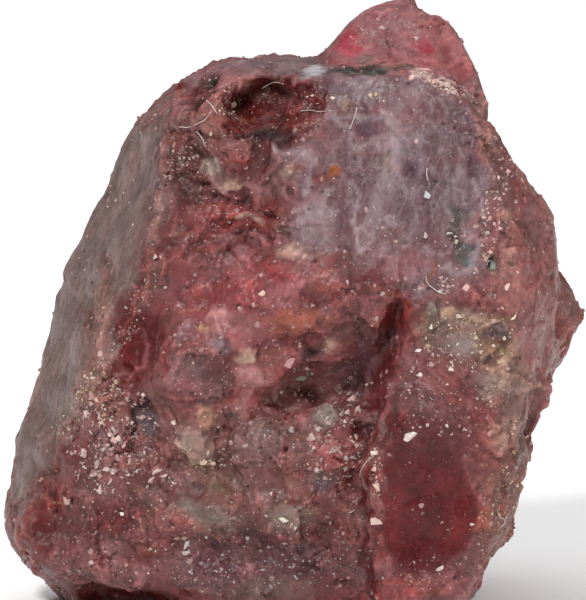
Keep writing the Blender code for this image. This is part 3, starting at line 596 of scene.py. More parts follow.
def neighbour_mean(values, edges):
    """The mean of each point's neighbours, for rows of values."""
    count = len(values)
    ends, others = np.concatenate((edges, edges[:, ::-1])).T
    share = np.maximum(np.bincount(ends, minlength=count), 1)
    return np.stack([np.bincount(ends, column[others], count) / share for column in values.T], axis=1)


def smoothed(values, edges, rounds):
    for _ in range(rounds):
        values = (values + neighbour_mean(values, edges)) / 2
    return values


def side_normal(azimuth):
    turn = math.radians(azimuth)
    return np.array((math.sin(turn), -math.cos(turn), 0.0))


def picture_places(points):
    """Where points in millimetres are seen in the picture, as rows of (x, y) pixels."""
    from_aim = points - AIM
    nearer = EYE_DISTANCE / (EYE_DISTANCE - from_aim @ TOWARDS_EYE)
    x = PICTURE_WIDTH / 2 + from_aim[:, 0] / PIXEL * nearer
    y = PICTURE_HEIGHT / 2 - from_aim @ PICTURE_UP / PIXEL * nearer
    return np.stack((x, y), axis=1)


# ------------------------------------------------------------------------------------------------ the surface

def fine_copy():
    """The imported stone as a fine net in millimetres, finest in front, with the solid's facets smoothed out."""
    stone = add_object("raw_ruby_crystal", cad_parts[NODE].data.copy())
    stone.data.transform(Matrix.Scale(1 / MM, 4))
    net = stone.modifiers.new("Net", "REMESH")
    net.mode = "VOXEL"
    net.voxel_size = VOXEL
    apply_modifiers(stone)
    mesh = stone.data
    write_points(mesh, smoothed(read_points(mesh), read_edges(mesh), SMOOTHING_ROUNDS))
    refine_front(mesh)
    write_points(mesh, smoothed(read_points(mesh), read_edges(mesh), FRONT_SMOOTHING_ROUNDS))
    mesh.polygons.foreach_set("use_smooth", np.ones(len(mesh.polygons), bool))
    return stone


def refine_front(mesh):
    """Divides the edges of the faces that the camera sees."""
    fine = bmesh.new()
    fine.from_mesh(mesh)
    eye = Vector(TOWARDS_EYE)
    seen = [face for face in fine.faces if face.normal.dot(eye) > FRONT_FACING]
    front = [face for face in seen if face.calc_center_median().y < FRONT_DEPTH]
    edges = list({edge for face in front for edge in face.edges})
    bmesh.ops.subdivide_edges(fine, edges=edges, cuts=1, use_grid_fill=True)
    fine.to_mesh(mesh)
    fine.free()


class Reach:
    """How far coats, strokes, forms and lines reach over the points of the surface."""

    def __init__(self, mesh):
        self.points, self.normals = read_points(mesh), read_normals(mesh)
        self.places = picture_places(self.points)
        self.wanders = [self.wander(size) * reach for size, reach in WANDER]
        self.strayed = self.points + sum(self.wanders)
        self.strays = [picture_places(self.points + wander) - self.places for wander in self.wanders]
        self.front = smooth_step(GLANCING, FACING, self.normals @ TOWARDS_EYE)

    def wander(self, size):
        return np.array([noise.noise_vector(Vector(row)) for row in self.points / size])

    def picture(self, half_width):
        """The places in the picture, strayed as far as suits a patch of this half width in pixels."""
        places = self.places.copy()
        for stray, (size, _) in zip(self.strays, WANDER):
            places += stray * min(1.0, half_width * PIXEL / size)
        return places

    def patch(self, x, y, half_width, half_height, roll, edge):
        """The share of each point that lies in a patch of the picture."""
        places = self.picture(min(half_width, half_height))
        return patch_share(places[:, 0] - x, y - places[:, 1], half_width, half_height, roll, edge) * self.front

    def stroke(self, points, half_width):
        """The share of each point that lies under a stroke of the picture."""
        places = self.picture(STROKE_WANDER * half_width)
        nearest = np.full(len(places), np.inf)
        for start, end in zip(points, points[1:]):
            run = np.subtract(end, start)
            along = np.clip((places - start) @ run / (run @ run), 0.0, 1.0)
            nearest = np.minimum(nearest, np.linalg.norm(places - start - along[:, None] * run, axis=1))
        return (1.0 - smooth_step(0.3 * half_width, 1.2 * half_width, nearest)) * self.front

    def side_patch(self, side, across, up, half_width, half_height, roll, edge):
        """The share of each point that lies in a patch on one of the sides."""
        along = self.strayed @ side_normal(SIDES[side] + 90) - across
        facing = smooth_step(0.25, 0.60, self.normals @ side_normal(SIDES[side]))
        return patch_share(along, self.strayed[:, 2] - up, half_width, half_height, roll, edge) * facing


def patch_share(along, rise, half_width, half_height, roll, edge):
    turn = math.radians(roll)
    u = (along * math.cos(turn) + rise * math.sin(turn)) / half_width
    v = (rise * math.cos(turn) - along * math.sin(turn)) / half_height
    return 1.0 - smooth_step(1.0 - edge, 1.0 + edge / 2, np.sqrt(u * u + v * v))


def spread(layers, substance, share):
    """Lays one substance over the surface: layers holds colour, roughness, grain and veil."""
    colour, *finish = PALETTE[substance]
    layers += (np.concatenate((paint_for(colour), finish)) - layers) * share[:, None]


def paint(reach):
    """The surface's colour, roughness, grain and veil at each point, from the coats in their order."""
    layers = np.zeros((len(reach.points), 6))
    spread(layers, "mauve", np.ones(len(layers)))
    for side, substance, across, up, half_width, half_height, roll, strength, edge in SIDE_COATS.values():
        share = reach.side_patch(side, across, up, half_width, half_height, roll, edge)
        spread(layers, substance, share * strength)
    for substance, x, y, half_width, half_height, roll, strength, edge in FRONT_COATS.values():
        spread(layers, substance, reach.patch(x, y, half_width, half_height, roll, edge) * strength)
    for substance, half_width, strength, points in STROKES.values():
        spread(layers, substance, reach.stroke(points, half_width) * strength)
    return layers


def clear_patches(reach, layers):
    """Here and there the grainy stone is clear, and so darker and redder."""
    share = smooth_step(0.06, 0.30, swell(reach.strayed, CLEAR_SIZE)) * smooth_step(0.20, 0.40, layers[:, 4])
    layers[:, :3] *= 1 - share[:, None] * CLEAR_DEPTH
    layers[:, 4] *= 1 - CLEARNESS * share


def draw_lines(reach):
    """How strongly the surface is drawn out in lines of each kind."""
    lines = np.zeros((len(reach.points), len(LINE_KINDS)))
    for kind, x, y, half_width, half_height, roll, strength, edge in LINED.values():
        share = reach.patch(x, y, half_width, half_height, roll, edge) * strength
        column = lines[:, list(LINE_KINDS).index(kind)]
        np.maximum(column, share, out=column)
    return lines


def model_forms(reach):
    """The height of the small forms and creases at each point."""
    height = np.zeros(len(reach.points))
    for x, y, half_width, half_height, roll, rise, edge in FORMS.values():
        height += reach.patch(x, y, half_width, half_height, roll, edge) * rise
    for side, across, up, half_width, half_height, roll, rise, edge in SIDE_FORMS.values():
        height += reach.side_patch(side, across, up, half_width, half_height, roll, edge) * rise
    for half_width, rise, points in CREASES.values():
        height += reach.stroke(points, half_width) * rise
    return height


def mosaic(points, size):
    """The height at each point of a mosaic of flat facets of this size, each with a tilt of its own."""
    heights = []
    for row in points / size:
        point = Vector(row)
        middle = noise.voronoi(point)[1][0]
        heights.append((point - middle).dot(noise.cell_vector(middle) * 2.0 - Vector((1, 1, 1))))
    return np.array(heights) * size


def swell(points, size):
    return np.array([noise.noise(Vector(row)) for row in points / size])


def calm(reach, mesh, grain):
    """Smooths the lumps out where the stone is clear."""
    share = 1.0 - smooth_step(*CALM, grain)
    smooth = smoothed(reach.points, read_edges(mesh), CALM_ROUNDS)
    write_points(mesh, reach.points + (smooth - reach.points) * share[:, None])
    reach.points, reach.normals = read_points(mesh), read_normals(mesh)


def roughen(reach, grain):
    """The height of the fine relief: soft swells all over, and facets and crags where the stone is grainy."""
    height = np.zeros(len(grain))
    for size, rise, least in SWELLS:
        height += swell(reach.points, size) * rise * (least + grain * (1 - least))
    for size, tilt, least in FACETS:
        height += mosaic(reach.points, size) * tilt * (least + grain * (1 - least))
    for size, rise in CRAGS:
        height += (0.25 - np.abs(swell(reach.points, size))) * rise * grain
    return height


def hollowness(mesh, rounds):
    """How deep each point lies in a hollow, in millimetres; on a ridge it is negative."""
    points = read_points(mesh)
    return ((smoothed(points, read_edges(mesh), rounds) - points) * read_normals(mesh)).sum(axis=1)


def paint_hollow_shade_and_ridge_light(mesh, layers):
    """Paints shade into the hollows, the deeper the darker, and pales the ridges as painted highlights, most where
    grainy.
    """
    share = smooth_step(-0.10, 0.45, layers[:, 4])
    # For the fine and the coarse relief: (rounds of smoothing that tell a hollow from a ridge, depth in millimetres
    # that counts in full, share of the light that painted shade takes from a hollow, share that a painted highlight
    # adds to a ridge).
    for rounds, depth, dark, pale in ((3, 0.012, 0.22, 0.34), (30, 0.10, 0.34, 0.16)):
        deep = hollowness(mesh, rounds) / depth * share
        layers[:, :3] *= 1 - dark * np.clip(deep, 0, 1)[:, None] * PAINTED_SHADE_TINT
        layers[:, :3] *= 1 + pale * np.clip(-deep, 0, 1)[:, None]


def store(mesh, name, columns):
    """Keeps three columns of values on the mesh for the material."""
    values = np.concatenate((columns, np.ones((len(columns), 1))), axis=1)
    mesh.color_attributes.new(name, "FLOAT_COLOR", "POINT").data.foreach_set("color", values.ravel())


def dress_stone():
    stone = fine_copy()
    mesh = stone.data
    reach = Reach(mesh)
    layers = paint(reach)
    clear_patches(reach, layers)
    lines = draw_lines(reach)
    calm(reach, mesh, layers[:, 4])
    relief = layers[:, 4] * (SIDE_RELIEF + (1 - SIDE_RELIEF) * reach.front)
    height = model_forms(reach) + roughen(reach, relief)
    points = reach.points + height[:, None] * reach.normals
    points[:, 2] = np.maximum(points[:, 2], LOW[2])
    write_points(mesh, points)
    paint_hollow_shade_and_ridge_light(mesh, layers)
    store(mesh, "tint", layers[:, :3])
    store(mesh, "finish", layers[:, 3:])
    store(mesh, "lines", lines)
    mesh.materials.clear()
    mesh.materials.append(skin_material())
    mesh.transform(Matrix.Scale(MM, 4))
    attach(stone, BODY)
    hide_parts(NODE)
    return stone


# ---------------------------------------------------------------------------------------------- the materials

class Nodes:
    """A short way of writing a material's nodes."""

    def __init__(self, name):
        self.material = bpy.data.materials.new(name)
        self.material.use_nodes = True
        self.tree = self.material.node_tree
        self.shader = self.tree.nodes["Principled BSDF"]

    def add(self, kind, **values):
        """Adds a node, and sets or links its inputs by name."""
        node = self.tree.nodes.new(kind)
        for key, value in values.items():
            self.set(node.inputs[key.replace("_", " ")], value)
        return node

    def set(self, socket, value):
        if isinstance(value, bpy.types.NodeSocket):
            self.tree.links.new(value, socket)
        else:
            socket.default_value = value

    def math(self, operation, a, b=0.0):
        node = self.tree.nodes.new("ShaderNodeMath")
        node.operation = operation
        self.set(node.inputs[0], a)
        self.set(node.inputs[1], b)
        return node.outputs[0]

    def times(self, a, b):
        return self.math("MULTIPLY", a, b)

    def vector(self, operation, a, b):
        node = self.tree.nodes.new("ShaderNodeVectorMath")
        node.operation = operation
        self.set(node.inputs[0], a)
        self.set(node.inputs["Scale"] if operation == "SCALE" else node.inputs[1], b)
        return node.outputs[0]

    def vector_length(self, a):
        node = self.tree.nodes.new("ShaderNodeVectorMath")
        node.operation = "LENGTH"
        self.set(node.inputs[0], a)
        return node.outputs["Value"]

    def remap(self, value, low, high, to_low, to_high):
        node = self.add("ShaderNodeMapRange", Value=value, From_Min=low, From_Max=high)
        self.set(node.inputs["To Min"], to_low)
        self.set(node.inputs["To Max"], to_high)
        return node.outputs["Result"]

    def mix(self, share, a, b):
        node = self.tree.nodes.new("ShaderNodeMix")
        node.data_type = "RGBA"
        self.set(node.inputs[0], share)
        self.set(node.inputs[6], a)
        self.set(node.inputs[7], b)
        return node.outputs[2]

    def noise(self, place, scale, detail=3.0, roughness=0.55, distortion=0.0):
        node = self.add("ShaderNodeTexNoise", Vector=place, Scale=scale, Detail=detail)
        self.set(node.inputs["Roughness"], roughness)
        self.set(node.inputs["Distortion"], distortion)
        return node.outputs["Fac"]

    def cells(self, place, scale):
        """Voronoi cells: the distance from a cell's middle, and three random shares of the cell."""
        node = self.add("ShaderNodeTexVoronoi", Vector=place, Scale=scale)
        shares = self.add("ShaderNodeSeparateColor", Color=node.outputs["Color"]).outputs
        return node.outputs["Distance"], node.outputs["Color"], shares

    def attribute(self, name):
        node = self.tree.nodes.new("ShaderNodeAttribute")
        node.attribute_name = name
        return node.outputs["Color"]

    def attribute_shares(self, name):
        return self.add("ShaderNodeSeparateColor", Color=self.attribute(name)).outputs

    def place(self, lean=0.0, length=1.0):
        """The place on the stone in millimetres, drawn out along a line that leans over to the right."""
        here = self.tree.nodes.new("ShaderNodeTexCoord").outputs["Object"]
        node = self.tree.nodes.new("ShaderNodeMapping")
        node.vector_type = "TEXTURE"
        self.set(node.inputs["Vector"], here)
        node.inputs["Rotation"].default_value = (0.0, math.radians(lean), 0.0)
        node.inputs["Scale"].default_value = (MM, MM, MM * length)
        return node.outputs["Vector"]

    def strayed(self, place, scale, reach):
        """The place strayed by noise, so that cells get ragged outlines."""
        field = self.add("ShaderNodeTexNoise", Vector=place, Scale=scale, Detail=2.0).outputs["Color"]
        return self.vector("ADD", place, self.vector("SCALE", self.vector("SUBTRACT", field, (0.5, 0.5, 0.5)), reach))


def rgba(colour):
    return (*paint_for(colour), 1.0)


def mottled(nodes, colour, place, grain):
    """Soft clouds of light and dark, and grains that differ, where the stone is grainy."""
    shade = nodes.remap(nodes.noise(place, 0.9, detail=5.0, roughness=0.65), 0.30, 0.70, 0.64, 1.38)
    shade = nodes.times(shade, nodes.remap(nodes.noise(place, 5.0, detail=3.0), 0.30, 0.70, 0.80, 1.21))
    ragged = nodes.strayed(place, 5.0, 0.16)
    for scale, spread_of_shade in ((2.3, 0.42), (6.5, 0.46)):
        share = nodes.cells(ragged, scale)[2]["Red"]
        step = nodes.times(nodes.math("SUBTRACT", share, 0.5), nodes.times(grain, 2 * spread_of_shade))
        shade = nodes.times(shade, nodes.math("ADD", step, 1.0))
    shares = nodes.cells(ragged, 1.8)[2]
    for channel, tone in (("Red", (124, 42, 42)), ("Green", (148, 118, 120)), ("Blue", (160, 116, 98))):
        share = nodes.times(nodes.remap(shares[channel], 0.68, 1.0, 0.0, 0.55), grain)
        colour = nodes.mix(share, colour, rgba(tone))
    return nodes.vector("SCALE", colour, shade)


def cracked(nodes, colour, place, grain):
    """Dark cracks between the grains, here and there."""
    ragged = nodes.strayed(place, 2.5, 0.25)
    patches = nodes.remap(nodes.noise(place, 1.1, detail=3.0), 0.45, 0.60, 0.0, 0.30)
    for scale, width in ((1.5, 0.05), (3.4, 0.07)):
        node = nodes.add("ShaderNodeTexVoronoi", Vector=ragged, Scale=scale)
        node.feature = "DISTANCE_TO_EDGE"
        line = nodes.remap(node.outputs["Distance"], 0.0, width, 1.0, 0.0)
        colour = nodes.mix(nodes.times(nodes.times(line, patches), grain), colour, rgba((52, 18, 20)))
    return colour


def drifted(nodes, colour, place, grain):
    """Drifts of warmer and of greyer stone, least where the stone is clear."""
    drift = nodes.noise(place, 0.7, detail=4.0, roughness=0.6)
    reach = nodes.remap(grain, 0.0, 0.4, 0.15, 0.80)
    warm = nodes.times(nodes.remap(drift, 0.52, 0.72, 0.0, 0.40), reach)
    grey = nodes.times(nodes.remap(drift, 0.48, 0.28, 0.0, 0.40), reach)
    colour = nodes.mix(warm, colour, rgba((146, 52, 50)))
    return nodes.mix(grey, colour, rgba((130, 112, 118)))


def veiled(nodes, colour, veil):
    """Milky clouds and dark gaps between them, drawn out upwards, where a film covers the stone."""
    place = nodes.place(lean=4, length=1.8)
    for scale, strength in ((1.1, 0.60), (3.2, 0.40)):
        cloud = nodes.noise(place, scale, detail=4.0, roughness=0.62, distortion=0.8)
        share = nodes.times(nodes.remap(cloud, 0.50, 0.68, 0.0, strength), veil)
        colour = nodes.mix(share, colour, rgba((160, 142, 148)))
        share = nodes.times(nodes.remap(cloud, 0.48, 0.32, 0.0, strength), veil)
        colour = nodes.mix(share, colour, rgba((92, 60, 68)))
    for scale, width in ((0.6, 0.014), (1.3, 0.022)):
        field = nodes.noise(place, scale, detail=4.0, roughness=0.60, distortion=0.2)
        off_middle = nodes.math("ABSOLUTE", nodes.math("SUBTRACT", field, 0.5))
        thread = nodes.times(nodes.remap(off_middle, 0.0, width, 0.30, 0.0), veil)
        colour = nodes.mix(thread, colour, rgba((180, 166, 170)))
    return colour


def lined(nodes, colour, lines, light):
    """Fine lines, light and dark, along each kind's own direction. Also gives their height."""
    height = nodes.math("ADD", 0.0)
    for lean, channel in zip(LINE_KINDS.values(), ("Red", "Green", "Blue")):
        place = nodes.place(lean=lean, length=8.0)
        field = nodes.noise(place, 10.0, detail=4.0, roughness=0.7, distortion=0.3)
        step = nodes.times(nodes.remap(field, 0.30, 0.70, -0.30, 0.30), lines[channel])
        colour = nodes.vector("SCALE", colour, nodes.math("ADD", step, 1.0))
        scratch = nodes.times(nodes.times(nodes.remap(field, 0.63, 0.70, 0.0, 0.45), lines[channel]), light)
        colour = nodes.mix(scratch, colour, rgba((178, 166, 164)))
        height = nodes.math("ADD", height, nodes.times(field, lines[channel]))
    return colour, height


def flecked(nodes, colour, place, grain):
    """Pale flecks, partly pale grains and partly painted glints, and dark pores, thickest where the stone is grainy.
    Also gives the flecks' share.
    """
    crowd = nodes.remap(nodes.noise(place, 0.8, detail=2.0), 0.35, 0.65, 0.3, 1.6)
    flecks = nodes.math("ADD", 0.0)
    ragged = nodes.strayed(place, 9.0, 0.12)
    for scale, low, high, tone in ((5.0, 0.008, 0.19, (214, 180, 172)), (9.0, 0.010, 0.18, (204, 168, 158))):
        distance, _, shares = nodes.cells(ragged, scale)
        chance = nodes.times(nodes.remap(grain, 0.0, 1.0, low, high), crowd)
        chosen = nodes.math("LESS_THAN", shares["Green"], chance)
        size = nodes.remap(shares["Blue"], 0.0, 1.0, 0.16, 0.42)
        inside = nodes.math("LESS_THAN", distance, size)
        fleck = nodes.times(nodes.times(chosen, inside), nodes.remap(shares["Red"], 0.0, 1.0, 0.25, 0.80))
        colour = nodes.mix(fleck, colour, rgba(tone))
        flecks = nodes.math("MAXIMUM", flecks, fleck)
    distance, _, shares = nodes.cells(place, 6.3)
    chosen = nodes.math("LESS_THAN", shares["Green"], nodes.times(grain, 0.22))
    pore = nodes.times(chosen, nodes.remap(distance, 0.18, 0.42, 0.65, 0.0))
    return nodes.mix(pore, colour, rgba((48, 18, 18))), flecks


def glinting_normal(nodes, place, grain, height):
    """The surface's own normal, with fine bumps, and with a lean of its own for each grain."""
    bump = nodes.add("ShaderNodeBump", Strength=0.5, Distance=0.03 * MM, Height=height)
    leaning = bump.outputs["Normal"]
    ragged = nodes.strayed(place, 5.0, 0.12)
    for scale, lean in ((2.2, 0.60), (4.2, 1.00), (8.5, 1.10)):
        random = nodes.vector("SUBTRACT", nodes.cells(ragged, scale)[1], (0.5, 0.5, 0.5))
        leaning = nodes.vector("ADD", leaning, nodes.vector("SCALE", random, nodes.times(grain, lean)))
    node = nodes.tree.nodes.new("ShaderNodeVectorMath")
    node.operation = "NORMALIZE"
    nodes.set(node.inputs[0], leaning)
    return node.outputs[0]


def skin_material():
    """The stone's skin: painted tints, mottled, veiled with milky threads, flecked and grainy."""
    nodes = Nodes("raw_ruby_skin")
    place = nodes.place()
    finish = nodes.attribute_shares("finish")
    roughness, grain, veil = finish["Red"], finish["Green"], finish["Blue"]
    light = nodes.remap(nodes.attribute_shares("tint")["Red"], 0.015, 0.10, 0.15, 1.0)
    light_grain = nodes.times(grain, light)
    colour = drifted(nodes, nodes.attribute("tint"), place, light_grain)
    colour = mottled(nodes, colour, place, light_grain)
    colour = cracked(nodes, colour, place, grain)
    colour = veiled(nodes, colour, veil)
    colour, line_height = lined(nodes, colour, nodes.attribute_shares("lines"), light)
    colour, flecks = flecked(nodes, colour, place, light_grain)
    nodes.set(nodes.shader.inputs["Base Color"], colour)

    grit = nodes.noise(place, 12.0, detail=3.0, roughness=0.65)
    rough = nodes.math("ADD", roughness, nodes.remap(grit, 0.3, 0.7, -0.10, 0.12))
    nodes.set(nodes.shader.inputs["Roughness"], rough)
    height = nodes.math("ADD", nodes.math("ADD", grit, line_height), flecks)
    nodes.set(nodes.shader.inputs["Normal"], glinting_normal(nodes, place, grain, height))

    nodes.shader.inputs["IOR"].default_value = 1.76
    nodes.shader.inputs["Specular IOR Level"].default_value = 0.10
    nodes.shader.inputs["Subsurface Weight"].default_value = 0.15
    nodes.shader.inputs["Subsurface Radius"].default_value = (1.0, 0.30, 0.28)
    nodes.shader.inputs["Subsurface Scale"].default_value = 0.35 * MM
    return nodes.material


def chip_material(name):
    """Loose chips: each has its own tint."""
    nodes = Nodes(name)
    grit = nodes.noise(nodes.place(), 16.0, detail=2.0)
    colour = nodes.vector("SCALE", nodes.attribute("tint"), nodes.remap(grit, 0.3, 0.7, 0.80, 1.15))
    nodes.set(nodes.shader.inputs["Base Color"], colour)
    nodes.shader.inputs["Roughness"].default_value = 0.30
    nodes.shader.inputs["IOR"].default_value = 1.76
    nodes.shader.inputs["Specular IOR Level"].default_value = 0.25
    return nodes.material


def fibre_material():
    nodes = Nodes("dust_fibre")
    shade = nodes.remap(nodes.noise(nodes.place(), 4.0), 0.3, 0.7, 0.75, 1.0)
    nodes.set(nodes.shader.inputs["Base Color"], nodes.vector("SCALE", tuple(paint_for((222, 206, 198))), shade))
    nodes.shader.inputs["Roughness"].default_value = 0.6
    return nodes.material


def floor_material():
    """A pale floor that glows a little away from the stone, as a white backdrop does."""
    nodes = Nodes("pale_floor")
    nodes.shader.inputs["Base Color"].default_value = (0.96, 0.96, 0.96, 1)
    nodes.shader.inputs["Roughness"].default_value = 0.9
    distance = nodes.vector_length(nodes.place())
    nodes.set(nodes.shader.inputs["Emission Strength"], nodes.remap(distance, 12.0, 70.0, 0.0, 0.22))
    nodes.shader.inputs["Emission Color"].default_value = (1, 1, 1, 1)
    return nodes.material


# -------------------------------------------------------------------------------------------- chips and grains

CHIP_SHAPES = 24

# The tints of chips, from the commonest on.
PINKS = ((222, 190, 184), (206, 166, 158), (232, 208, 200), (184, 136, 130))
CREAMS = ((226, 200, 176), (206, 176, 146), (236, 220, 200), (176, 146, 116))
GREYS = ((186, 172, 170), (150, 134, 134), (212, 200, 198), (128, 104, 106))
MAUVES = ((150, 104, 104), (170, 124, 122), (122, 80, 82), (190, 150, 146))

# Chips that stand out one by one, in picture pixels: (x, y, length, width, roll, tint).
NAMED_CHIPS = {
    "corner": (233, 104, 9, 6, 25, (236, 200, 180)),
    "corner, small": (225, 91, 4, 4, 0, (224, 196, 184)),
    "corner, cream": (241, 101, 6, 6, 0, (190, 160, 130)),
    "crater rim": (312, 95, 5, 4, 30, (244, 230, 220)),
    "crater rim, right": (333, 98, 5, 4, -30, (246, 230, 214)),
    "crater floor": (292, 112, 4, 3, 0, (236, 226, 220)),
    "red lump rim": (222, 137, 8, 4, 20, (230, 214, 200)),
    "red lump rim, left": (213, 134, 6, 5, -20, (216, 186, 160)),
    "film ring": (427, 195, 9, 8, 0, (206, 200, 208)),
    "right inclusion": (494, 266, 8, 11, 10, (140, 146, 130)),
    "knob, right": (417, 38, 7, 5, 20, (212, 180, 176)),
    "knob, middle": (362, 30, 6, 4, -20, (210, 160, 164)),
    "knob, left": (378, 20, 6, 4, 20, (214, 170, 170)),
    "rust grain": (335, 171, 8, 6, 30, (150, 84, 50)),
    "film, low": (425, 235, 5, 7, 0, (196, 176, 180)),
    "black pit": (455, 236, 7, 5, 40, (214, 204, 194)),
    "black pit, upper": (450, 234, 6, 5, 10, (216, 206, 196)),
    "black pit, right": (458, 242, 6, 5, -20, (200, 192, 180)),
    "pink grain": (449, 289, 9, 7, 20, (196, 152, 150)),
    "pink grain, upper": (441, 277, 7, 5, 0, (190, 150, 146)),
    "pink grain, right": (466, 287, 7, 9, 0, (214, 172, 168)),
    "cream, far right": (508, 287, 8, 6, 20, (232, 190, 174)),
    "yellow zone": (460, 316, 8, 7, 10, (240, 220, 212)),
    "yellow zone, right": (514, 317, 8, 7, 20, (236, 216, 190)),
    "yellow zone, low": (482, 351, 6, 4, 40, (232, 210, 180)),
    "gold chip": (502, 363, 8, 6, 10, (226, 204, 164)),
    "slab, left": (418, 350, 7, 4, 10, (240, 222, 214)),
    "slab, middle": (420, 374, 6, 5, 0, (236, 214, 206)),
    "slab, upper": (452, 369, 7, 4, 15, (232, 212, 198)),
    "slab, glass": (433, 397, 6, 5, 0, (206, 200, 202)),
    "slab, low": (448, 425, 5, 4, 20, (228, 206, 200)),
    "triangle": (411, 437, 16, 9, 4, (214, 196, 190)),
    "cave": (291, 360, 17, 12, 65, (214, 164, 164)),
    "cave, small": (307, 368, 7, 4, -50, (214, 184, 176)),
    "cave, grey": (301, 377, 12, 7, 10, (170, 166, 152)),
    "crevice, first": (341, 389, 13, 7, -45, (218, 168, 164)),
    "crevice, second": (354, 400, 11, 7, -70, (216, 176, 168)),
    "crevice, third": (347, 412, 6, 5, 30, (232, 208, 202)),
    "crevice, fourth": (357, 409, 8, 5, 60, (222, 186, 178)),
    "plate": (313, 437, 9, 8, 40, (214, 184, 176)),
    "plate, left": (292, 431, 8, 7, -60, (204, 188, 184)),
    "vein": (338, 452, 12, 7, -55, (210, 170, 160)),
    "vein, right": (353, 458, 8, 6, -60, (212, 180, 170)),
    "window corner": (374, 453, 9, 5, 10, (226, 204, 192)),
    "window edge": (375, 469, 8, 5, 0, (216, 180, 166)),
    "window edge, lower": (377, 486, 11, 6, -55, (214, 180, 168)),
    "crevice foot": (353, 507, 12, 7, 55, (232, 216, 206)),
    "big crumb": (378, 521, 15, 12, 10, (236, 208, 198)),
    "green band": (284, 520, 9, 6, -30, (232, 220, 204)),
    "coral": (263, 293, 9, 5, 30, (226, 190, 172)),
    "ridge": (156, 257, 7, 6, 0, (236, 216, 214)),
    "lower left": (93, 489, 12, 10, 15, (234, 208, 202)),
    "lower left, upper": (114, 440, 9, 6, -40, (206, 168, 160)),
    "left of the block": (144, 394, 9, 5, 50, (226, 196, 184)),
    "yellow spot rim": (174, 422, 7, 5, 0, (232, 212, 198)),
    "striped": (158, 470, 14, 4, 35, (216, 184, 176)),
    "striped, second": (153, 478, 13, 4, 45, (210, 178, 168)),
    "striped, third": (164, 476, 12, 4, 25, (204, 168, 160)),
    "wedge": (271, 493, 5, 5, 0, (232, 206, 198)),
    "left facet": (122, 514, 5, 4, 0, (232, 216, 212)),
    "foot, far left": (91, 562, 6, 5, 0, (206, 172, 168)),
    "foot, left": (109, 558, 6, 6, 0, (214, 184, 178)),
    "foot, streak": (187, 543, 4, 13, -20, (222, 208, 206)),
    "above the vein": (319, 428, 8, 6, 40, (224, 200, 190)),
    "ring at the left": (67, 500, 10, 9, 0, (200, 160, 152)),
    "heap, upper": (98, 399, 7, 5, 30, (210, 176, 160)),
    "heap, fifth": (113, 449, 7, 6, -60, (226, 196, 188)),
    "heap, fourth": (132, 438, 8, 6, 10, (206, 172, 166)),
    "heap, third": (123, 445, 7, 5, 60, (196, 158, 150)),
    "heap, second": (118, 438, 8, 6, -30, (222, 190, 180)),
    "heap, first": (111, 434, 7, 5, 20, (214, 180, 172)),
    "under the lump": (203, 462, 8, 6, 10, (214, 184, 162)),
    "under the lump, right": (213, 463, 7, 5, -20, (206, 172, 152)),
    "foot": (186, 552, 8, 6, 0, (212, 198, 194)),
    "window foot": (440, 568, 8, 6, 20, (226, 200, 192)),
    "rim": (473, 524, 6, 5, 20, (232, 206, 190)),
    "rim, upper": (508, 460, 5, 10, 20, (196, 160, 148)),
}

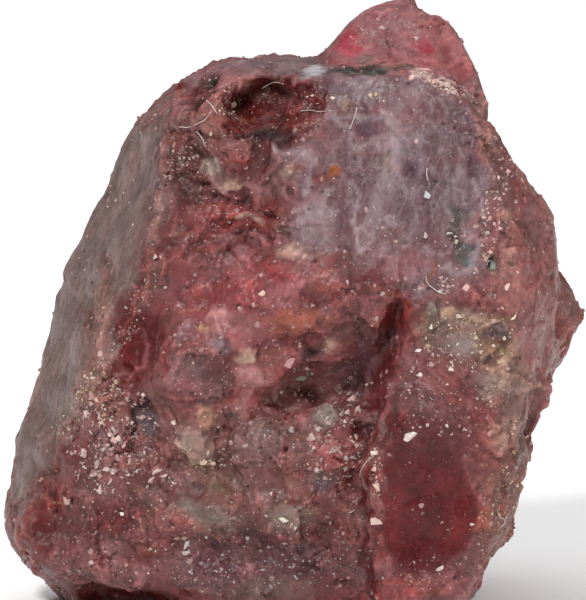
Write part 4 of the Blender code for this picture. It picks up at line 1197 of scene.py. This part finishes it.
# Clusters of chips, in picture pixels: (x, y, half width, half height, roll, count, smallest, largest, tints).
CLUSTERS = {
    "left ridge, top": (190, 105, 10, 40, -32, 30, 1.5, 3.5, PINKS),
    "left ridge, middle": (162, 190, 8, 60, -10, 110, 1.5, 3.5, GREYS),
    "left ridge, low": (130, 320, 12, 60, -28, 80, 1.6, 5.0, PINKS),
    "left ridge, foot": (80, 400, 14, 44, -28, 70, 1.6, 6.0, CREAMS),
    "corner": (228, 92, 28, 16, 0, 60, 1.5, 3.5, PINKS),
    "corner, cream": (226, 108, 12, 10, 0, 30, 2.0, 4.5, CREAMS),
    "crater": (288, 108, 44, 22, 0, 110, 1.2, 4.0, PINKS),
    "crater's right": (318, 100, 20, 14, 0, 50, 1.5, 3.5, PINKS),
    "dark hollow": (188, 180, 26, 46, 8, 80, 1.3, 5.0, MAUVES),
    "hollow, bright": (182, 156, 12, 12, 0, 30, 2.0, 6.0, PINKS),
    "red lump": (240, 150, 24, 20, 0, 40, 1.2, 3.0, PINKS),
    "slits": (240, 210, 50, 22, 0, 70, 1.2, 3.0, PINKS),
    "cream specks": (378, 97, 10, 4, -20, 16, 2.5, 7.0, CREAMS),
    "film": (395, 175, 95, 85, 0, 110, 1.0, 2.6, GREYS),
    "film, low": (420, 262, 70, 34, 0, 90, 1.2, 3.0, PINKS),
    "right ridge": (500, 186, 11, 80, -13, 170, 1.6, 7.0, PINKS),
    "right flank": (536, 280, 34, 130, 0, 130, 1.2, 3.0, PINKS),
    "cream band": (440, 82, 30, 6, -22, 90, 2.5, 9.0, PINKS),
    "knob": (400, 38, 60, 30, 0, 26, 1.2, 3.2, PINKS),
    "pink cluster": (444, 281, 11, 11, 0, 34, 2.5, 5.5, PINKS),
    "black pit": (453, 237, 5, 5, 0, 8, 1.8, 3.5, GREYS),
    "right inclusion": (492, 263, 7, 9, 0, 18, 1.8, 3.8, GREYS),
    "yellow zone": (468, 336, 52, 32, 10, 160, 1.6, 6.5, CREAMS),
    "slab, upper": (450, 396, 54, 44, 0, 150, 1.4, 5.0, PINKS),
    "rim": (506, 490, 20, 80, -14, 170, 1.6, 6.0, CREAMS),
    "window": (430, 500, 50, 66, 0, 60, 0.8, 2.2, PINKS),
    "window's foot": (420, 574, 48, 16, 4, 90, 1.4, 3.6, PINKS),
    "window's corner": (375, 476, 7, 30, 0, 40, 1.8, 4.5, PINKS),
    "coral": (270, 296, 100, 46, 0, 110, 1.2, 3.0, PINKS),
    "block": (204, 372, 34, 30, 0, 60, 1.2, 3.2, PINKS),
    "cave": (318, 380, 52, 38, 0, 90, 1.2, 3.2, PINKS),
    "cave grains": (302, 374, 10, 8, 0, 24, 2.0, 4.5, GREYS),
    "crevice's left bank": (348, 402, 14, 22, 20, 50, 2.5, 8.0, PINKS),
    "pinks": (334, 446, 30, 38, 0, 130, 2.0, 8.0, PINKS),
    "middle, crumbs": (290, 446, 60, 60, 0, 200, 1.0, 3.2, PINKS),
    "under the block": (206, 450, 36, 28, 0, 60, 1.6, 6.0, CREAMS),
    "cream row": (206, 463, 17, 5, 0, 20, 2.5, 5.5, CREAMS),
    "lower left": (112, 440, 44, 54, -20, 230, 2.2, 12.0, PINKS),
    "lower left, crumbs": (130, 470, 60, 60, -20, 260, 1.2, 3.6, PINKS),
    "lower left, tan": (100, 400, 24, 28, 0, 80, 2.0, 6.5, CREAMS),
    "lower left, foot": (110, 540, 70, 40, 0, 160, 1.6, 6.0, MAUVES),
    "green bands": (244, 510, 70, 22, 0, 110, 1.5, 4.0, CREAMS),
    "foot": (260, 562, 110, 36, 0, 240, 1.6, 6.5, GREYS),
    "foot, crumbs": (230, 550, 120, 40, 0, 200, 1.0, 3.0, PINKS),
    "foot, right": (340, 520, 24, 60, 0, 90, 1.6, 6.0, MAUVES),
    "grey plate": (266, 436, 30, 30, 0, 60, 1.4, 3.6, GREYS),
    "left face": (90, 290, 34, 190, -21, 90, 0.9, 2.2, GREYS),
}

# Grains all over the stone, thickest where it is grainy: count, and smallest and largest size in millimetres.
GRAIN_COUNT = 8000
GRAIN_SIZES = (0.04, 0.17)
BASE_CLEARANCE = 0.12

# Grains are as pale as they come on stone whose red is at least this, and less so on darker stone.
PALE_FROM = 0.12


def chip_shapes(random):
    """Angular chips about one unit across: (points, triangles) of the hulls of a few random points."""
    shapes = []
    for _ in range(CHIP_SHAPES):
        chip = bmesh.new()
        for _ in range(random.integers(6, 10)):
            spot = random.normal(size=3)
            chip.verts.new(spot / np.linalg.norm(spot) / 2)
        bmesh.ops.convex_hull(chip, input=chip.verts)
        bmesh.ops.delete(chip, geom=[v for v in chip.verts if not v.link_faces], context="VERTS")
        bmesh.ops.triangulate(chip, faces=chip.faces)
        chip.verts.index_update()
        points = np.array([v.co for v in chip.verts])
        faces = np.array([[v.index for v in face.verts] for face in chip.faces])
        shapes.append((points, faces))
        chip.free()
    return shapes


def axes_on(normal, turn):
    """Rows of a turned set of axes whose third is this normal."""
    side = np.cross(normal, (0.31, 0.47, 0.83))
    side /= np.linalg.norm(side)
    other = np.cross(normal, side)
    first = side * math.cos(turn) + other * math.sin(turn)
    return np.array((first, np.cross(normal, first), normal))


def join_chips(name, shapes, rows):
    """One mesh of many chips: rows of (shape number, place, axes, size, tint)."""
    points, faces, tints, start = [], [], [], 0
    for shape, place, axes, size, tint in rows:
        corners, triangles = shapes[shape]
        seated = (corners * size) @ axes + place
        seated[:, 2] = np.maximum(seated[:, 2], LOW[2])
        points.append(seated)
        faces.append(triangles + start)
        tints.append(np.tile(tint, (len(corners), 1)))
        start += len(corners)
    mesh = bpy.data.meshes.new(name)
    mesh.from_pydata((np.concatenate(points) * MM).tolist(), [], np.concatenate(faces).tolist())
    store(mesh, "tint", np.concatenate(tints))
    mesh.materials.append(chip_material(name))
    made = add_object(name, mesh)
    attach(made, BODY)
    return made


class Surface:
    """The dressed stone's surface in millimetres, to seat small pieces on."""

    def __init__(self, stone):
        mesh = stone.data
        mesh.calc_loop_triangles()
        points = read_points(mesh) / MM
        triangles = np.empty(len(mesh.loop_triangles) * 3, np.int64)
        mesh.loop_triangles.foreach_get("vertices", triangles)
        triangles = triangles.reshape(-1, 3)
        corners = points[triangles]
        cross = np.cross(corners[:, 1] - corners[:, 0], corners[:, 2] - corners[:, 0])
        length = np.linalg.norm(cross, axis=1)
        self.areas = length / 2
        self.normals = cross / np.maximum(length, 1e-12)[:, None]
        self.middles = corners.mean(axis=1)
        self.grain = self.read(mesh, "finish")[triangles[:, 0], 1]
        self.tint = self.read(mesh, "tint")[triangles[:, 0], :3]
        self.tree = BVHTree.FromPolygons(points.tolist(), triangles.tolist())

    @staticmethod
    def read(mesh, name):
        values = np.empty(len(mesh.vertices) * 4)
        mesh.color_attributes[name].data.foreach_get("color", values)
        return values.reshape(-1, 4)

    def seen_at(self, x, y):
        """The place and the normal of the surface that shows at a picture pixel, or nothing."""
        across = (x - PICTURE_WIDTH / 2) * PIXEL
        rise = (PICTURE_HEIGHT / 2 - y) * PIXEL
        eye = AIM + TOWARDS_EYE * EYE_DISTANCE
        through = AIM + PICTURE_UP * rise + np.array((across, 0.0, 0.0))
        place, normal, _, _ = self.tree.ray_cast(Vector(eye), Vector(through - eye).normalized())
        return None if place is None else (np.array(place), np.array(normal))


def named_chips(surface, shapes, random):
    """The rows of the chips that stand out, each lying as the picture shows it."""
    rows = []
    for x, y, length, width, roll, tint in NAMED_CHIPS.values():
        place, normal = surface.seen_at(x, y)
        out = normal + TOWARDS_EYE
        out /= np.linalg.norm(out)
        turn = math.radians(roll)
        along = np.array((math.cos(turn), 0.0, math.sin(turn)))
        along -= out * (along @ out)
        along /= np.linalg.norm(along)
        axes = np.array((along, np.cross(out, along), out))
        size = np.array((length, width, min(length, width) * 0.8)) * 1.15 * PIXEL
        rows.append((random.integers(CHIP_SHAPES), place + out * size[2] * 0.15, axes, size, paint_for(tint)))
    return rows


def clustered_chips(surface, random):
    """The rows of the chips in the clusters, each with a shape, a turn and a tint of its own."""
    rows = []
    for x, y, half_width, half_height, roll, count, smallest, largest, tints in CLUSTERS.values():
        turn = math.radians(roll)
        for _ in range(count):
            angle, distance = random.random() * math.tau, math.sqrt(random.random())
            u, v = distance * math.cos(angle) * half_width, distance * math.sin(angle) * half_height
            seat = surface.seen_at(x + u * math.cos(turn) - v * math.sin(turn), y - u * math.sin(turn) - v * math.cos(turn))
            if seat is None:
                continue
            place, normal = seat
            length = smallest * (largest / smallest) ** (random.random() ** 1.5) * PIXEL
            size = length * np.array((1.0, 0.6 + 0.4 * random.random(), 0.45 + 0.4 * random.random()))
            tint = tints[int(len(tints) * random.random() ** 1.3)]
            shade = 0.55 + 0.45 * random.random()
            axes = axes_on(normal, random.random() * math.tau)
            rows.append((random.integers(CHIP_SHAPES), place + normal * size[2] * 0.05, axes, size, paint_for(tint) * shade))
    return rows


def scattered_grains(surface, random):
    """The rows of small grains all over the stone, thickest where it is grainy."""
    weight = surface.areas * (0.08 + np.clip(surface.grain, 0, 1) ** 2) * (surface.middles[:, 2] > BASE_CLEARANCE)
    rows = []
    for triangle in random.choice(len(weight), GRAIN_COUNT, p=weight / weight.sum()):
        length = GRAIN_SIZES[0] * (GRAIN_SIZES[1] / GRAIN_SIZES[0]) ** (random.random() ** 2)
        size = length * np.array((1.0, 0.6 + 0.4 * random.random(), 0.5 + 0.5 * random.random()))
        normal = surface.normals[triangle]
        pale = paint_for(PINKS[random.integers(len(PINKS))])
        share = 0.80 * random.random() ** 2 * min(1.0, surface.tint[triangle, 0] / PALE_FROM)
        tint = surface.tint[triangle] * (1 - share) + pale * share
        place = surface.middles[triangle] + normal * length * (0.12 - 0.3 * random.random())
        rows.append((random.integers(CHIP_SHAPES), place, axes_on(normal, random.random() * math.tau), size, tint))
    return rows


def strew_chips(surface):
    random = np.random.default_rng(SEED)
    shapes = chip_shapes(random)
    join_chips("loose_chips", shapes, named_chips(surface, shapes, random))
    join_chips("chip_clusters", shapes, clustered_chips(surface, random))
    join_chips("grains", shapes, scattered_grains(surface, random))


# ------------------------------------------------------------------------------------------------ dust fibres

# Each fibre's points, in picture pixels.
FIBRES = {
    "upper film": ((357, 108), (356, 114), (353, 122), (350, 129)),
    "middle film": ((427, 168), (427, 176), (429, 184)),
    "hook": ((426, 276), (428, 283), (433, 289), (440, 293), (447, 294)),
    "corner": ((207, 101), (211, 104), (214, 108), (216, 113)),
    "corner, long": ((180, 127), (190, 127), (199, 123), (206, 118), (211, 112)),
    "corner, branch": ((197, 132), (202, 138), (206, 146)),
    "crevice": ((361, 476), (363, 468), (368, 461), (374, 456)),
    "rim of the window": ((497, 509), (499, 516), (504, 521), (500, 527)),
    "crater": ((300, 111), (310, 110), (320, 112), (332, 111)),
    "crater's brow": ((262, 88), (268, 84), (276, 82), (284, 83)),
}
FIBRE_RADIUS = 0.013
FIBRE_LIFT = 0.03


def dust_fibres(surface):
    """Thin curved fibres that lie on the stone."""
    curve = bpy.data.curves.new("dust_fibres", "CURVE")
    curve.dimensions = "3D"
    curve.bevel_depth = FIBRE_RADIUS * MM
    curve.bevel_resolution = 1
    curve.use_fill_caps = True
    for places in FIBRES.values():
        line = curve.splines.new("BEZIER")
        line.bezier_points.add(len(places) - 1)
        for point, (x, y) in zip(line.bezier_points, places):
            place, normal = surface.seen_at(x, y)
            point.co = (place + normal * FIBRE_LIFT) * MM
            point.handle_left_type = point.handle_right_type = "AUTO"
    curve.materials.append(fibre_material())
    made = add_object("dust_fibres", curve)
    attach(made, BODY)


# ------------------------------------------------------------------------------------------ floor, light, camera

FLOOR_HALF = 2.0


def set_floor():
    mesh = bpy.data.meshes.new("floor")
    corners = [(x * FLOOR_HALF, y * FLOOR_HALF, 0.0) for x, y in ((-1, -1), (1, -1), (1, 1), (-1, 1))]
    mesh.from_pydata(corners, [], [(0, 1, 2, 3)])
    mesh.materials.append(floor_material())
    add_object("floor", mesh)


def point_at(thing, place, target):
    thing.location = place
    thing.rotation_euler = (Vector(target) - Vector(place)).to_track_quat("-Z", "Y").to_euler()


def soft_light(name, place, side, power):
    light = bpy.data.lights.new(name, "AREA")
    light.shape = "DISK"
    light.size = side
    light.energy = power
    point_at(add_object(name, light), place, (0, 0, HIGH[2] / 2 * MM))


def set_light():
    world = bpy.data.worlds.new("studio")
    bpy.context.scene.world = world
    world.use_nodes = True
    world.node_tree.nodes["Background"].inputs["Color"].default_value = (1.0, 1.0, 1.0, 1.0)
    world.node_tree.nodes["Background"].inputs["Strength"].default_value = 0.22
    soft_light("ceiling", (0.0, 0.10, 0.60), 0.80, 2.60)
    soft_light("key", (-0.06, -0.12, 0.13), 0.03, 0.26)
    soft_light("fill", (0.14, -0.09, 0.07), 0.03, 0.11)


def set_camera():
    lens = bpy.data.cameras.new("camera")
    lens.lens = LENS
    lens.sensor_width = SENSOR
    lens.clip_start = 0.01
    camera = add_object("camera", lens)
    point_at(camera, Vector(AIM + TOWARDS_EYE * EYE_DISTANCE) * MM, Vector(AIM) * MM)
    bpy.context.scene.camera = camera
    bpy.context.scene.view_settings.view_transform = "Standard"


set_camera()
set_light()
set_floor()
surface = Surface(dress_stone())
strew_chips(surface)
dust_fibres(surface)
